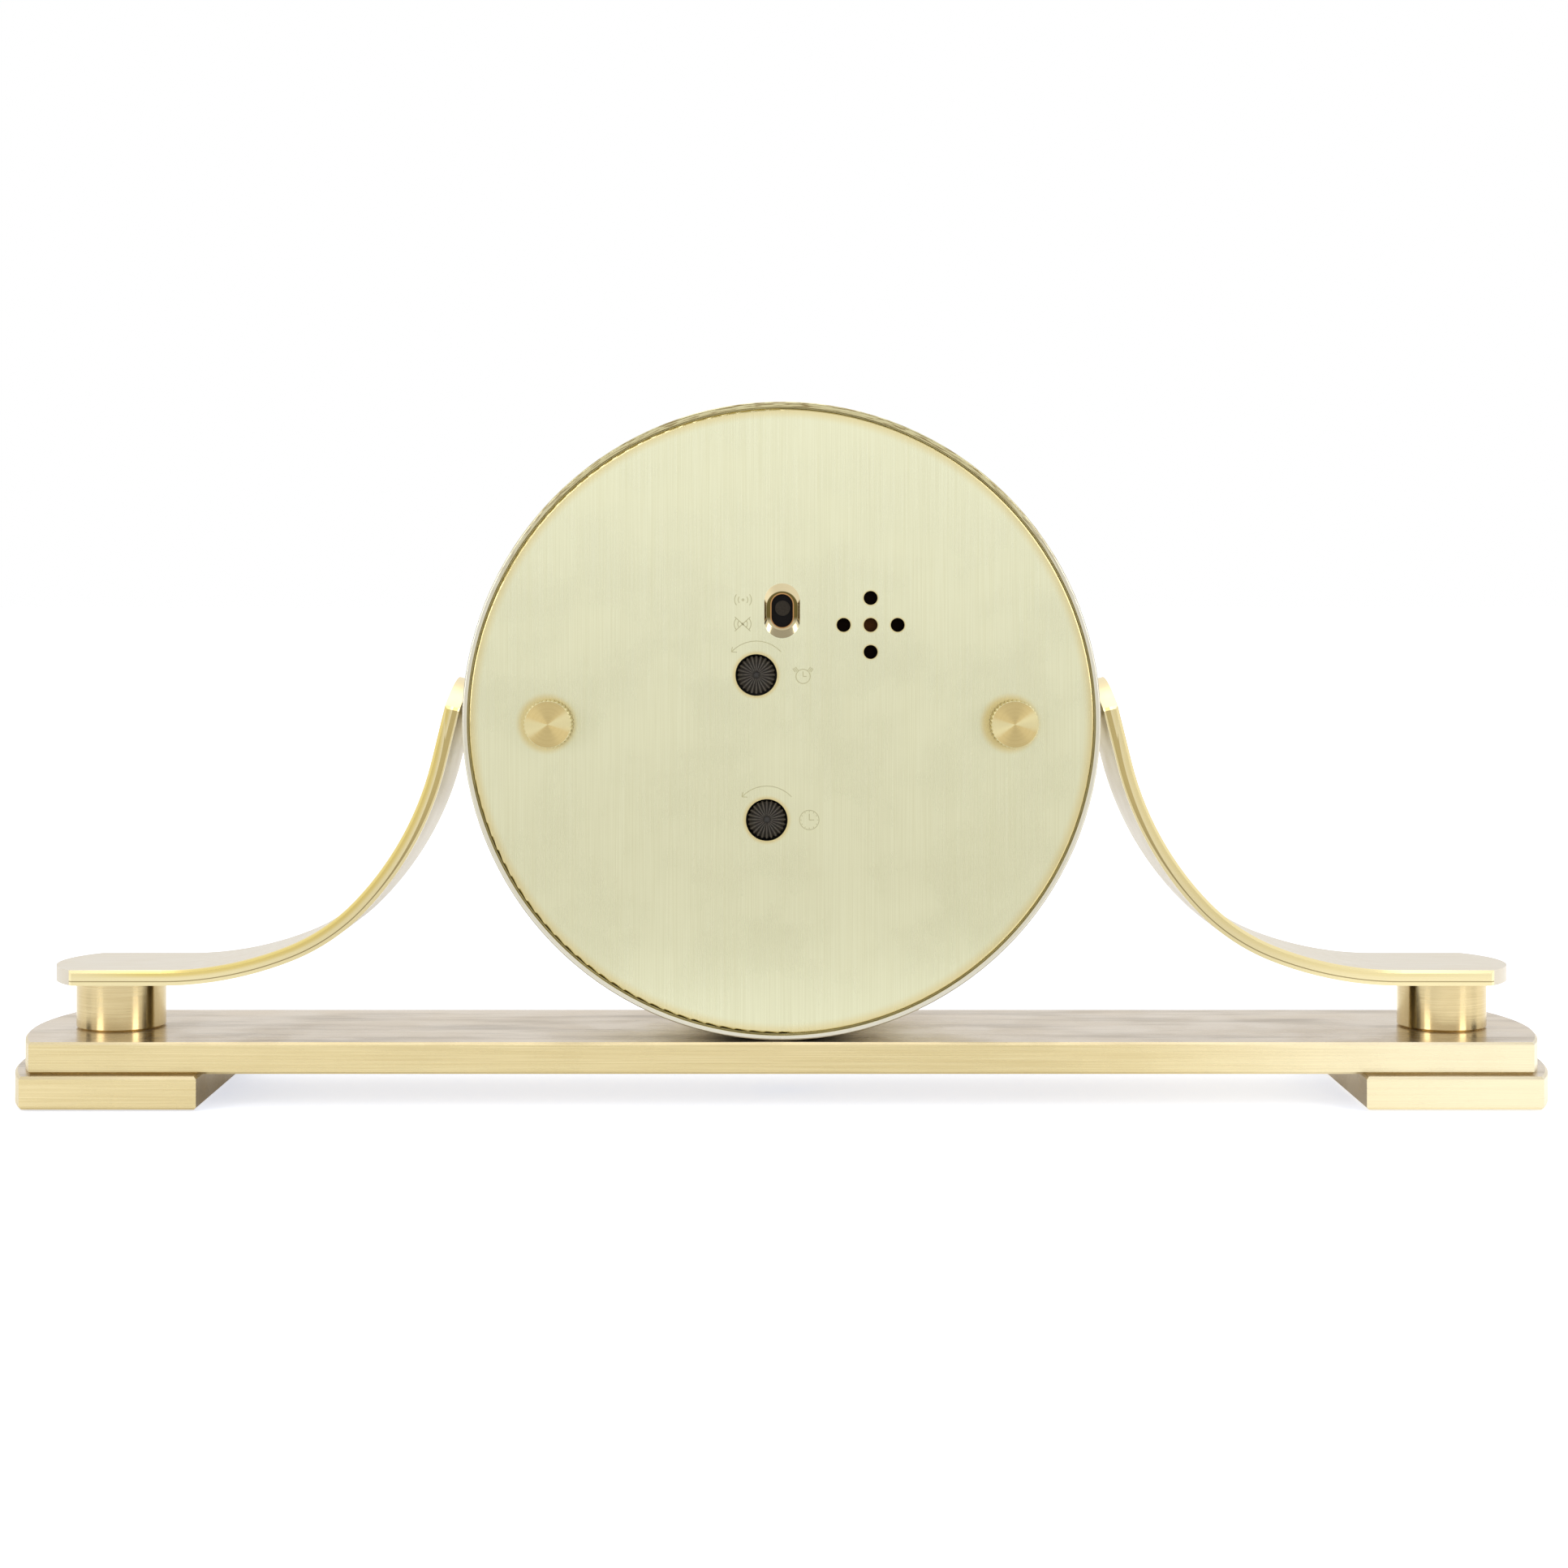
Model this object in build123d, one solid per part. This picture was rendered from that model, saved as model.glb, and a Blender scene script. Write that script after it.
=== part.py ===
from build123d import *
import math
import os

# A tambour mantel alarm clock in brass, in millimetres. The dial faces -Y, the back cover faces +Y
# and +Z is up. The origin is the middle of the footprint, on the surface that the clock stands on.
# Left and right are as seen from the dial side, so right is +X.

# Clearances
thread_gap = 0.05
running_gap = 0.05
pipe_gap = 0.04
seat_gap = 0.05
cut_overrun = 1.0

# Base plate: half length to the corners, and how far the curved ends bulge past them
base_corner = 116.0
base_bulge = 3.6
base_depth = 32.7
base_thickness = 4.9
base_bevel = 0.35

# Feet
foot_lip_x = 0.85
foot_lip_y = 2.2
foot_bulge = 4.2
foot_length = 27.15
foot_height = 5.1
foot_bevel = 0.4
pad_radius = 4.0
pad_thickness = 0.8
pad_proud = 0.3
pad_inset = 7.5
dowel_radius = 1.25
dowel_length = 6.0
dowel_spacing_x = 14.0
dowel_spacing_y = 16.0

# Pillars
pillar_inset = 10.2
pillar_radius = 7.0
pillar_height = 7.9
pillar_bevel = 0.3
spigot_radius = 2.5
spigot_height = 1.2

# Screws that come up through the base
base_screw_radius = 2.0
base_screw_head_radius = 3.9
base_screw_head_height = 2.1
base_screw_recess = 0.3
base_screw_grip = 5.0
screw_slot_share = 0.22
screw_slot_depth_share = 0.4

# Arms: bent brass strips. The bends are listed from the flat run upwards.
arm_width = 21.3
arm_thickness = 2.37
arm_end_run = 5.2
arm_end_bulge = 4.7
arm_bend_radii = (55.75, 32.0, 50.3)
arm_bend_angles = (21.5, 24.5, 30.0)
arm_tip_rise = 5.85
arm_tip_gap = 0.2
arm_edge_bevel = 0.45
arm_screw_rise = 1.9
arm_screw_radius = 1.0
arm_screw_head_radius = 2.0
arm_screw_head_height = 1.4
arm_screw_grip = 1.6
arm_spacer_radius = 2.2

# Drum case, just large enough for the movement
drum_clearance = 0.7048
drum_wall = 0.8
drum_rim_round = 0.3
cover_ledge_width = 1.3
cover_ledge_thickness = 1.2
carrier_ledge_width = 1.1
carrier_ledge_thickness = 1.0
nut_across = 7.0
nut_height = 3.0

# Front bezel and glass
bezel_height = 3.2
bezel_slope = 0.8
bezel_round = 1.5
bezel_lip_thickness = 1.25
bezel_spigot_length = 2.4
glass_thickness = 1.8
glass_setback = 2.5
glass_lap = 2.1
gasket_thickness = 0.7
gasket_width = 1.4
dial_ring_width = 1.7
dial_ring_taper = 1.2

# Dial and hands
dial_gap = 0.2
dial_thickness = 0.8
dial_depth = 5.6
marker_setback = 2.4
marker_length = 4.6
marker_width = 1.5
marker_thickness = 0.4
hand_thickness = 0.4
hand_pitch = 0.9
hand_glass_gap = 0.75
second_hand_share = 0.896
minute_hand_share = 0.861
hour_hand_share = 0.59
alarm_hand_share = 0.495
hand_tail_share = 0.24
second_hand_width = 0.7
minute_hand_width = 2.4
hour_hand_width = 3.2
alarm_hand_width = 1.5
second_hub_radius = 1.7
minute_hub_radius = 2.2
hour_hub_radius = 2.9
alarm_hub_radius = 3.4
shown_hours, shown_minutes, shown_seconds = 10, 9, 26
alarm_hours = 7

# Carrier plate behind the dial, with the posts that take the thumb screws
carrier_thickness = 1.0
carrier_window_radius = 4.3
post_offset = 6.35
post_drop = 0.4
post_radius = 3.0
post_setback = 3.0
carrier_screw_radius = 0.9
carrier_screw_head_radius = 1.8
carrier_screw_head_height = 0.7
carrier_screw_grip = 3.2

# Movement housing
housing_top = 27.0
housing_wall = 1.2
housing_floor = 1.0
housing_corner = 3.0
housing_bay_depth = 13.8
housing_cover_thickness = 1.0
bay_wall = 0.9
boss_radius = 1.9
boss_corner_x = 4.4
boss_corner_z = 3.6
boss_low_z = 15.5
bush_radius = 4.0
bush_proud = 1.5
movement_nut_radius = 6.2
movement_nut_thickness = 1.2
movement_nut_notch = 1.4
housing_screw_radius = 0.9
housing_screw_head_radius = 1.6
housing_screw_head_height = 0.6
housing_screw_grip = 3.0

# Wheel train: every wheel lies in one of seven layers, counted from the back of the movement
intermediate_layer, second_layer, third_layer, centre_layer = 1, 2, 3, 4
minute_layer, hour_layer, alarm_layer = 5, 6, 7
layer_first = 1.3
layer_pitch = 1.45
wheel_thickness = 0.8
pinion_margin = 0.15
arbor_radius = 0.35
pivot_depth = 0.7
train_share = 0.4655
rotor_share = 0.9722
pressure_angle = 26.0
addendum_share = 0.75
dedendum_share = 1.05
knee_share = 0.1
backlash_share = 0.14
third_angle = 190.0
intermediate_angle = -5.0
rotor_angle = 20.0
rotor_teeth, intermediate_teeth, intermediate_pinion_teeth = 8, 48, 8
second_teeth, second_pinion_teeth = 40, 8
third_teeth, third_pinion_teeth, centre_teeth = 60, 8, 64
cannon_teeth, minute_teeth, minute_pinion_teeth, hour_teeth = 12, 36, 10, 40
setting_teeth = 24
alarm_pinion_teeth, alarm_teeth = 12, 36
second_arbor_radius = 0.4
minute_pipe_radius = 0.85
hour_pipe_radius = 1.4
alarm_pipe_radius = 2.0

# Stepping motor
rotor_magnet_radius = 3.0
rotor_magnet_length = 2.4
rotor_magnet_gap = 0.5
stator_thickness = 0.7
stator_leg_margin = 1.1
stator_half_height = 13.0
stator_yoke = 3.2
coil_offset = 9.75
core_width = 2.4
core_thickness = 0.8
bobbin_tube_radius = 1.7
bobbin_flange_radius = 3.0
bobbin_flange_thickness = 0.8
bobbin_half_length = 8.6
winding_radius = 2.75
winding_gap = 0.05
coil_clearance = 1.8

# Circuit board and sounder
board_thickness = 0.8
board_width = 9.4
board_wall_gap = 4.3
board_top = 18.0
board_bottom = 12.0
board_stand = 5.6
chip_size = 4.0
chip_thickness = 1.0
crystal_radius = 1.0
crystal_length = 6.0
buzzer_radius = 8.4
buzzer_wall = 0.8
buzzer_height = 4.2
buzzer_disc_thickness = 0.4
buzzer_disc_setback = 1.0

# Battery, size AA, lying along X under the train, between its two contacts
battery_radius = 7.1
contact_room = 3.2
battery_nub_radius = 2.7
battery_nub_length = 1.0
battery_gap = 0.3
contact_thickness = 0.4
contact_width = 8.0
contact_free_height = 9.0

# Back cover
cover_room = 5.6
cover_gap = 0.2
cover_thickness = 1.0
cover_recess = 0.2
cover_edge_round = 0.4
cover_screw_gap = 0.15
time_knob_x, time_knob_z = 2.27, -15.3
alarm_knob_x, alarm_knob_z = 3.89, 7.12
knob_radius = 2.95
knob_hole_radius = 3.23
knob_height = 4.4
knob_setback = 0.7
knob_flutes = 24
knob_flute_depth = 0.32
knob_dimple_radius = 0.6
stem_radius = 1.0
slot_x, slot_z = -0.11, 17.06
slot_width, slot_height = 3.31, 5.15
dish_inner_width, dish_inner_height = 4.9, 6.05
dish_width, dish_height = 5.52, 8.54
dish_depth = 0.45
sound_x, sound_z = -13.8, 14.86
sound_hole_radius = 1.08
sound_pitch = 4.18

# Alarm switch
pin_radius = 1.18
pin_x, pin_z = -0.19, 17.45
pin_setback = 0.9
switch_travel = 1.7
slider_half_width = 2.4
slider_half_height = 3.0
slider_thickness = 1.4
slider_rail = 0.8
slider_gap = 0.1
slider_flange_half_width = 2.3
slider_flange_half_height = 4.6
slider_flange_thickness = 0.8

# Thumb screws and their retaining clips
thumb_radius = 3.74
thumb_height = 2.9
thumb_knurls = 36
thumb_knurl_depth = 0.22
thumb_bevel = 0.35
thumb_collar_radius = 2.7
thumb_collar_height = 0.45
thumb_screw_radius = 1.5
thumb_thread_length = 2.4
thumb_hole_extra = 1.2
clip_radius = 2.6
clip_thickness = 0.4
clip_groove_depth = 0.3

# Wheel train, from the distance between the clock's centre and the time setting knob
train_distance = train_share * math.hypot(time_knob_x, time_knob_z)
rotor_distance = rotor_share * train_distance
second_module = 2 * train_distance / (second_teeth + intermediate_pinion_teeth)
third_module = 2 * train_distance / (third_teeth + second_pinion_teeth)
centre_module = 2 * train_distance / (centre_teeth + third_pinion_teeth)
minute_module = 2 * train_distance / (cannon_teeth + minute_teeth)
hour_module = 2 * train_distance / (minute_pinion_teeth + hour_teeth)
rotor_module = 2 * rotor_distance / (rotor_teeth + intermediate_teeth)
alarm_module = 2 * math.hypot(alarm_knob_x, alarm_knob_z) / (alarm_pinion_teeth + alarm_teeth)
setting_distance = minute_module * (minute_teeth + setting_teeth) / 2
setting_tip = minute_module * (setting_teeth / 2 + addendum_share)
rotor_x = (train_distance * math.cos(math.radians(intermediate_angle))
           + rotor_distance * math.cos(math.radians(rotor_angle)))

# The housing is as wide as the train and its coil need, and the battery fills its bay
bay_half_width = rotor_x + coil_offset + bobbin_flange_radius + coil_clearance
housing_half_width = bay_half_width + housing_wall
battery_length = 2 * (bay_half_width - contact_room) - battery_nub_length
board_left = bay_half_width - board_wall_gap
board_right = board_left - board_width
post_x = housing_half_width + post_offset

# The battery lies under the setting pinion, behind a wall of the housing
bay_wall_top = time_knob_z - setting_tip - battery_gap
bay_wall_bottom = bay_wall_top - bay_wall
battery_z = bay_wall_bottom - battery_gap - battery_radius
housing_bottom = battery_z - battery_radius - battery_gap - housing_wall

# The drum goes round the lower corners of the housing, and all that is round follows it
drum_inner = math.hypot(housing_half_width, housing_bottom) + drum_clearance + carrier_ledge_width
drum_radius = drum_inner + drum_wall
glass_radius = drum_radius - glass_setback
bezel_opening = glass_radius - glass_lap
marker_outer = bezel_opening - marker_setback
cover_radius = drum_inner - cover_gap

# Heights
foot_bottom = pad_proud
base_bottom = foot_bottom + foot_height
base_top = base_bottom + base_thickness
arm_bottom = base_top + pillar_height
drum_z = base_top + seat_gap + drum_radius

# Plan positions
pillar_x = base_corner - pillar_inset
foot_corner = base_corner + foot_lip_x
foot_depth = base_depth + 2 * foot_lip_y
foot_inner = foot_corner - foot_length
arm_end_x = pillar_x + arm_end_run + arm_end_bulge

# The drum is as deep as the glass, the dial, the movement and the room behind it need
dial_stack = glass_thickness + dial_depth + dial_thickness + carrier_thickness + 3 * seat_gap
movement_stack = housing_floor + housing_bay_depth + housing_cover_thickness
cover_stack = cover_room + cover_thickness + cover_recess
drum_depth = bezel_lip_thickness - bezel_height + dial_stack + movement_stack + cover_stack

# Depths, along Y, from the front of the clock to its back
drum_back = drum_depth / 2
drum_front = -drum_depth / 2
bezel_front = drum_front - bezel_height
glass_front = bezel_front + bezel_lip_thickness + seat_gap
glass_back = glass_front + glass_thickness
dial_front = glass_back + dial_depth
dial_back = dial_front + dial_thickness
carrier_front = dial_back + seat_gap
carrier_back = carrier_front + carrier_thickness
floor_front = carrier_back + seat_gap
floor_back = floor_front + housing_floor
plate_front = floor_back + housing_bay_depth
plate_back = plate_front + housing_cover_thickness
cover_back = drum_back - cover_recess
cover_front = cover_back - cover_thickness
post_back = cover_front - post_setback
battery_y = floor_back + seat_gap + battery_radius


def slab(section, front, back):
    """A flat section drawn in X and Z, made solid from y = front to y = back."""
    return extrude(Plane.XZ.offset(-back) * section, amount=back - front)


def disc(radius, front, back, x=0.0, z=0.0):
    """A round disc or rod along Y."""
    return slab(Pos(x, z) * Circle(radius), front, back)


def ring(outer, inner, front, back, x=0.0, z=0.0):
    """A round tube or washer along Y."""
    return slab(Pos(x, z) * (Circle(outer) - Circle(inner)), front, back)


def post(radius, bottom, top, x=0.0, y=0.0):
    """An upright cylinder."""
    return extrude(Plane.XY.offset(bottom) * Pos(x, y) * Circle(radius), amount=top - bottom)


def cone_up(low_radius, high_radius, bottom, top, x=0.0, y=0.0):
    """An upright cone."""
    middle = (bottom + top) / 2
    return Pos(x, y, middle) * Cone(low_radius, high_radius, top - bottom)


def block(x_low, x_high, y_low, y_high, z_low, z_high):
    """A box between two corners."""
    middle = Pos((x_low + x_high) / 2, (y_low + y_high) / 2, (z_low + z_high) / 2)
    return middle * Box(x_high - x_low, y_high - y_low, z_high - z_low)


def turned(profile):
    """A solid of revolution about the drum's axis, from points given as (radius, y)."""
    section = make_face(Polyline(*profile, close=True))
    return Pos(0, 0, drum_z) * revolve(section, Axis.Y)


def on_drum(shape):
    """Moves a piece drawn about the drum's axis up to its real height."""
    return Pos(0, 0, drum_z) * shape


def bulge_radius(half_chord, bulge):
    """The radius of an arc from half its chord and its height."""
    return (half_chord**2 + bulge**2) / (2 * bulge)


def bulged_plan(left, right, depth, left_bulge, right_bulge):
    """A plan outline with straight long sides and curved ends."""
    half = depth / 2
    near_side = Line((left, -half), (right, -half))
    far_side = Line((right, half), (left, half))
    if right_bulge:
        right_end = ThreePointArc((right, -half), (right + right_bulge, 0), (right, half))
    else:
        right_end = Line((right, -half), (right, half))
    if left_bulge:
        left_end = ThreePointArc((left, half), (left - left_bulge, 0), (left, -half))
    else:
        left_end = Line((left, half), (left, -half))
    return make_face([near_side, right_end, far_side, left_end])


def bevelled_plate(outline, bottom, top, bevel):
    """An upright plate whose top and bottom edges are bevelled."""
    plate = extrude(Plane.XY.offset(bottom) * outline, amount=top - bottom)
    rims = plate.faces().filter_by(Axis.Z).edges()
    return chamfer(rims, bevel)


def slotted_screw(radius, head_radius, head_height, head_bottom, tip, x, y=0.0):
    """An upright countersunk screw, its slotted head at the bottom."""
    head_top = head_bottom + head_height
    screw = cone_up(head_radius, radius, head_bottom, head_top, x, y) + post(radius, head_bottom, tip, x, y)
    slot_half = head_radius * screw_slot_share / 2
    slot_top = head_bottom + head_height * screw_slot_depth_share
    return screw - block(x - head_radius, x + head_radius, y - slot_half, y + slot_half,
                         head_bottom - cut_overrun, slot_top)


def screw_passage(radius, head_radius, head_height, head_bottom, top, x):
    """What a countersunk screw needs cut for it: the recess under its head, its cone and its shank."""
    passage = post(head_radius + thread_gap, head_bottom - cut_overrun - pad_proud, head_bottom, x)
    passage += cone_up(head_radius + thread_gap, radius + thread_gap, head_bottom,
                       head_bottom + head_height, x)
    return passage + post(radius + thread_gap, head_bottom, top, x)


def base_screw_cut(x):
    """The passage of one of the screws under a pillar."""
    return screw_passage(base_screw_radius, base_screw_head_radius, base_screw_head_height,
                         foot_bottom + base_screw_recess, base_top + base_screw_grip + cut_overrun, x)


def drum_screw_cut():
    """The passage of the screw that holds the drum, whose head lies under the base plate."""
    return screw_passage(base_screw_radius, base_screw_head_radius, base_screw_head_height,
                         base_bottom + base_screw_recess, nut_bottom() + nut_height, 0.0)


def nut_bottom():
    """The height at which a nut's corners meet the curved inside of the drum."""
    corner = nut_across / math.sqrt(3)
    return drum_z - math.sqrt(drum_inner**2 - corner**2) + seat_gap


def dowels(side):
    """The two locating pins of one foot."""
    pins = []
    for turn in (-1, 1):
        x = side * (pillar_x + turn * dowel_spacing_x / 2)
        y = turn * dowel_spacing_y / 2
        pins.append((x, y))
    return pins


def base_plate():
    """The long plate with its curved ends, screw holes and dowel holes."""
    plate = bevelled_plate(bulged_plan(-base_corner, base_corner, base_depth, base_bulge, base_bulge),
                           base_bottom, base_top, base_bevel)
    for side in (-1, 1):
        plate -= base_screw_cut(side * pillar_x)
        for x, y in dowels(side):
            plate -= post(dowel_radius + thread_gap, base_bottom - cut_overrun,
                          base_bottom + dowel_length / 2 + seat_gap, x, y)
    return plate - drum_screw_cut()


def foot():
    """The right-hand foot."""
    outline = bulged_plan(foot_inner, foot_corner, foot_depth, 0, foot_bulge)
    body = bevelled_plate(outline, foot_bottom, base_bottom, foot_bevel)
    body -= base_screw_cut(pillar_x)
    for x, y in dowels(1):
        body -= post(dowel_radius + thread_gap, base_bottom - dowel_length / 2 - seat_gap,
                     base_bottom + cut_overrun, x, y)
    for x, y in pad_places():
        body -= post(pad_radius + thread_gap, foot_bottom - cut_overrun, pad_thickness, x, y)
    return body


def pad_places():
    """The middles of the two pads of the right-hand foot."""
    x = foot_corner - pad_inset
    y = foot_depth / 2 - pad_inset
    return [(x, -y), (x, y), (foot_inner + pad_inset, -y), (foot_inner + pad_inset, y)]


def foot_pads():
    """The felt pads under both feet."""
    right = [post(pad_radius, 0, pad_thickness, x, y) for x, y in pad_places()]
    left = [post(pad_radius, 0, pad_thickness, -x, y) for x, y in pad_places()]
    return right + left


def foot_dowels():
    """The pins that keep the feet square to the plate."""
    half = dowel_length / 2
    return [post(dowel_radius, base_bottom - half, base_bottom + half, x, y)
            for side in (-1, 1) for x, y in dowels(side)]


def base_screws():
    """One screw under each pillar and one under the drum."""
    tip = base_top + base_screw_grip
    screws = [slotted_screw(base_screw_radius, base_screw_head_radius, base_screw_head_height,
                            foot_bottom + base_screw_recess, tip, side * pillar_x) for side in (-1, 1)]
    screws.append(slotted_screw(base_screw_radius, base_screw_head_radius, base_screw_head_height,
                                base_bottom + base_screw_recess, nut_bottom() + nut_height, 0.0))
    return screws


def pillar():
    """The right-hand pillar, with a spigot that is soldered into the arm."""
    body = post(pillar_radius, base_top, arm_bottom, pillar_x)
    body = chamfer(body.faces().filter_by(Axis.Z).edges(), pillar_bevel)
    body += post(spigot_radius, arm_bottom - cut_overrun, arm_bottom + spigot_height, pillar_x)
    return body - post(base_screw_radius + thread_gap, base_top - cut_overrun,
                       base_top + base_screw_grip + seat_gap, pillar_x)


def arm_stations():
    """Places along the arm's inner line from its outer end to its tip, each as (x, z, lean)."""
    inward = rise = lean = 0.0
    bends = []
    for radius, angle in zip(arm_bend_radii, arm_bend_angles):
        start = math.radians(lean)
        for part in (1 / 2, 1):
            now = math.radians(lean + angle * part)
            bends.append((inward + radius * (math.sin(now) - math.sin(start)),
                          rise + radius * (math.cos(start) - math.cos(now)), now))
        inward, rise, now = bends[-1]
        lean += angle
    tip_x = math.sqrt((drum_radius + arm_tip_gap)**2 - arm_tip_rise**2)
    tip_z = drum_z + arm_tip_rise
    straight = (tip_z - arm_bottom - rise) / math.sin(now)
    bend_x = tip_x + straight * math.cos(now) + inward
    stations = [(arm_end_x, arm_bottom, 0.0), (bend_x, arm_bottom, 0.0)]
    stations += [(bend_x - x, arm_bottom + z, a) for x, z, a in bends]
    return stations + [(tip_x, tip_z, now)]


def arm_line(lift):
    """The arm's long side at some height above its inner line, as a chain of edges and its points."""
    points = [(x + lift * math.sin(a), z + lift * math.cos(a)) for x, z, a in arm_stations()]
    edges = [Line(points[0], points[1])]
    for n in range(1, len(points) - 2, 2):
        edges.append(ThreePointArc(points[n], points[n + 1], points[n + 2]))
    edges.append(Line(points[-2], points[-1]))
    return edges, points


def end_cut():
    """What rounds the end of a strip that points along +X and whose tip is at the origin."""
    half = arm_width / 2
    radius = bulge_radius(half, arm_end_bulge)
    reach = arm_end_bulge + cut_overrun
    deep = 2 * arm_thickness
    corner = block(-reach, cut_overrun, -half - cut_overrun, half + cut_overrun, -deep, deep)
    return corner - Pos(-radius, 0, 0) * Cylinder(radius, 4 * arm_thickness)


def arm():
    """The right-hand arm: a strip bent in the upright plane, its two ends rounded in plan."""
    inner, inner_points = arm_line(0.0)
    outer, outer_points = arm_line(arm_thickness)
    ends = [Line(inner_points[0], outer_points[0]), Line(inner_points[-1], outer_points[-1])]
    strip = slab(make_face(inner + outer + ends), -arm_width / 2, arm_width / 2)
    tip_x, tip_z, lean = arm_stations()[-1]
    strip -= Pos(arm_end_x, 0, arm_bottom) * end_cut()
    strip -= Pos(tip_x, 0, tip_z) * Rot(0, math.degrees(lean) - 180, 0) * end_cut()
    rims = [edge for edge in strip.edges() if outer_rim(edge)]
    strip = chamfer(rims, arm_edge_bevel)
    strip -= post(spigot_radius + thread_gap, arm_bottom - cut_overrun, arm_bottom + spigot_height + seat_gap,
                  pillar_x)
    return strip - arm_screw_rod(arm_screw_radius + thread_gap, drum_radius, arm_screw_tip() + seat_gap)


def outer_rim(edge):
    """True for the edges round the arm's outer face, by their distance from its inner line."""
    _, points = arm_line(arm_thickness)
    middle = edge @ 0.5
    side = abs(abs(middle.Y) - arm_width / 2) < seat_gap / 10
    return side and on_line(middle.X, middle.Z, arm_thickness)


def on_line(x, z, lift):
    """True where a point lies on the arm's long side at the given height above its inner line."""
    edges, _ = arm_line(lift)
    probe = Vector(x, z)
    return min(edge.distance_to(probe) for edge in edges) < seat_gap / 10


def arm_face_x():
    """How far out the arm's inner face is at the height of its screw."""
    tip_x, tip_z, lean = arm_stations()[-1]
    return tip_x + (arm_tip_rise - arm_screw_rise) / math.tan(lean)


def arm_screw_tip():
    """How far out the arm screw reaches."""
    return arm_face_x() + arm_screw_grip


def arm_screw_rod(radius, start_x, end_x):
    """A rod along +X at the height of the arm's screw."""
    section = Plane.YZ.offset(start_x) * Pos(0, drum_z + arm_screw_rise) * Circle(radius)
    return extrude(section, amount=end_x - start_x)


def arm_spacer():
    """The short distance piece between the drum's round wall and the arm's leaning face."""
    rod = arm_screw_rod(arm_spacer_radius, drum_inner, arm_screw_tip())
    rod -= arm_screw_rod(arm_screw_radius + thread_gap, drum_inner - cut_overrun,
                         arm_screw_tip() + cut_overrun)
    rod -= on_drum(disc(drum_radius, drum_front, drum_back))
    tip_x, tip_z, lean = arm_stations()[-1]
    behind = block(0, arm_width, -arm_width, arm_width, -arm_width, arm_width)
    return rod - Pos(tip_x, 0, tip_z) * Rot(0, math.degrees(lean) - 90, 0) * behind


def arm_screw():
    """The screw that holds the arm's tip, its head inside the drum."""
    head_end = math.sqrt(drum_inner**2 - (arm_screw_rise + arm_screw_head_radius)**2) - seat_gap
    head = arm_screw_rod(arm_screw_head_radius, head_end - arm_screw_head_height, head_end)
    return head + arm_screw_rod(arm_screw_radius, head_end - arm_screw_head_height, arm_screw_tip())


def mirrored(shape):
    """The left-hand copy of a right-hand piece."""
    return mirror(shape, about=Plane.YZ)


def drum_case():
    """The drum: a tube with a ledge for the back cover and one for the carrier plate."""
    tube = disc(drum_radius, drum_front, drum_back)
    tube = fillet(tube.faces().sort_by(Axis.Y)[-1].edges(), drum_rim_round)
    tube -= disc(drum_inner, drum_front - cut_overrun, drum_back + cut_overrun)
    ledge_front = cover_front - seat_gap - cover_ledge_thickness
    tube += ring(drum_inner + drum_wall / 2, drum_inner - cover_ledge_width, ledge_front,
                 cover_front - seat_gap)
    tube += ring(drum_inner + drum_wall / 2, drum_inner - carrier_ledge_width, floor_front,
                 floor_front + carrier_ledge_thickness)
    case = on_drum(tube)
    case -= post(base_screw_radius + thread_gap, base_top - cut_overrun, nut_bottom() + nut_height, 0.0)
    for side in (-1, 1):
        hole = arm_screw_rod(arm_screw_radius + thread_gap, 0.0, side * (drum_radius + cut_overrun))
        case -= hole
    return case


def drum_nut():
    """The six-sided nut inside the drum, on the screw that comes up through the base."""
    corner = nut_across / math.sqrt(3)
    section = RegularPolygon(corner, 6) - Circle(base_screw_radius + thread_gap)
    return extrude(Plane.XY.offset(nut_bottom()) * section, amount=nut_height)


def front_bezel():
    """The turned ring that holds the glass, its spigot inside the drum."""
    outer = drum_radius
    spigot = drum_inner - thread_gap
    lip_back = bezel_front + bezel_lip_thickness
    recess = glass_radius + seat_gap
    body = turned([(outer, drum_front), (outer, bezel_front), (bezel_opening + bezel_slope, bezel_front),
                   (bezel_opening, bezel_front + bezel_slope), (bezel_opening, lip_back), (recess, lip_back),
                   (recess, drum_front + bezel_spigot_length), (spigot, drum_front + bezel_spigot_length),
                   (spigot, drum_front)])
    rim = body.edges().filter_by(GeomType.CIRCLE)
    rim = rim.filter_by(lambda edge: edge.radius > outer - seat_gap / 10).sort_by(Axis.Y)[0]
    return fillet(rim, bezel_round)


def dial_glass():
    """The flat glass."""
    return on_drum(disc(glass_radius, glass_front, glass_back))


def glass_gasket():
    """The rubber ring between the glass and the ring round the dial."""
    return on_drum(ring(glass_radius, glass_radius - gasket_width, glass_back, glass_back + gasket_thickness))


def dial_ring():
    """The sloping ring between the glass and the dial."""
    front = glass_back + gasket_thickness
    inner = glass_radius - dial_ring_width
    return turned([(glass_radius, front), (inner, front), (inner - dial_ring_taper, dial_front),
                   (glass_radius, dial_front)])


def dial_plate():
    """The plain dial, with a hole for the bush."""
    plate = disc(drum_inner - dial_gap, dial_front, dial_back)
    return on_drum(plate - disc(bush_radius + seat_gap, dial_front - cut_overrun, dial_back + cut_overrun))


def clock_turn(degrees):
    """Turns a flat section clockwise as seen from the dial side."""
    return Rot(0, 0, -degrees)


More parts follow.
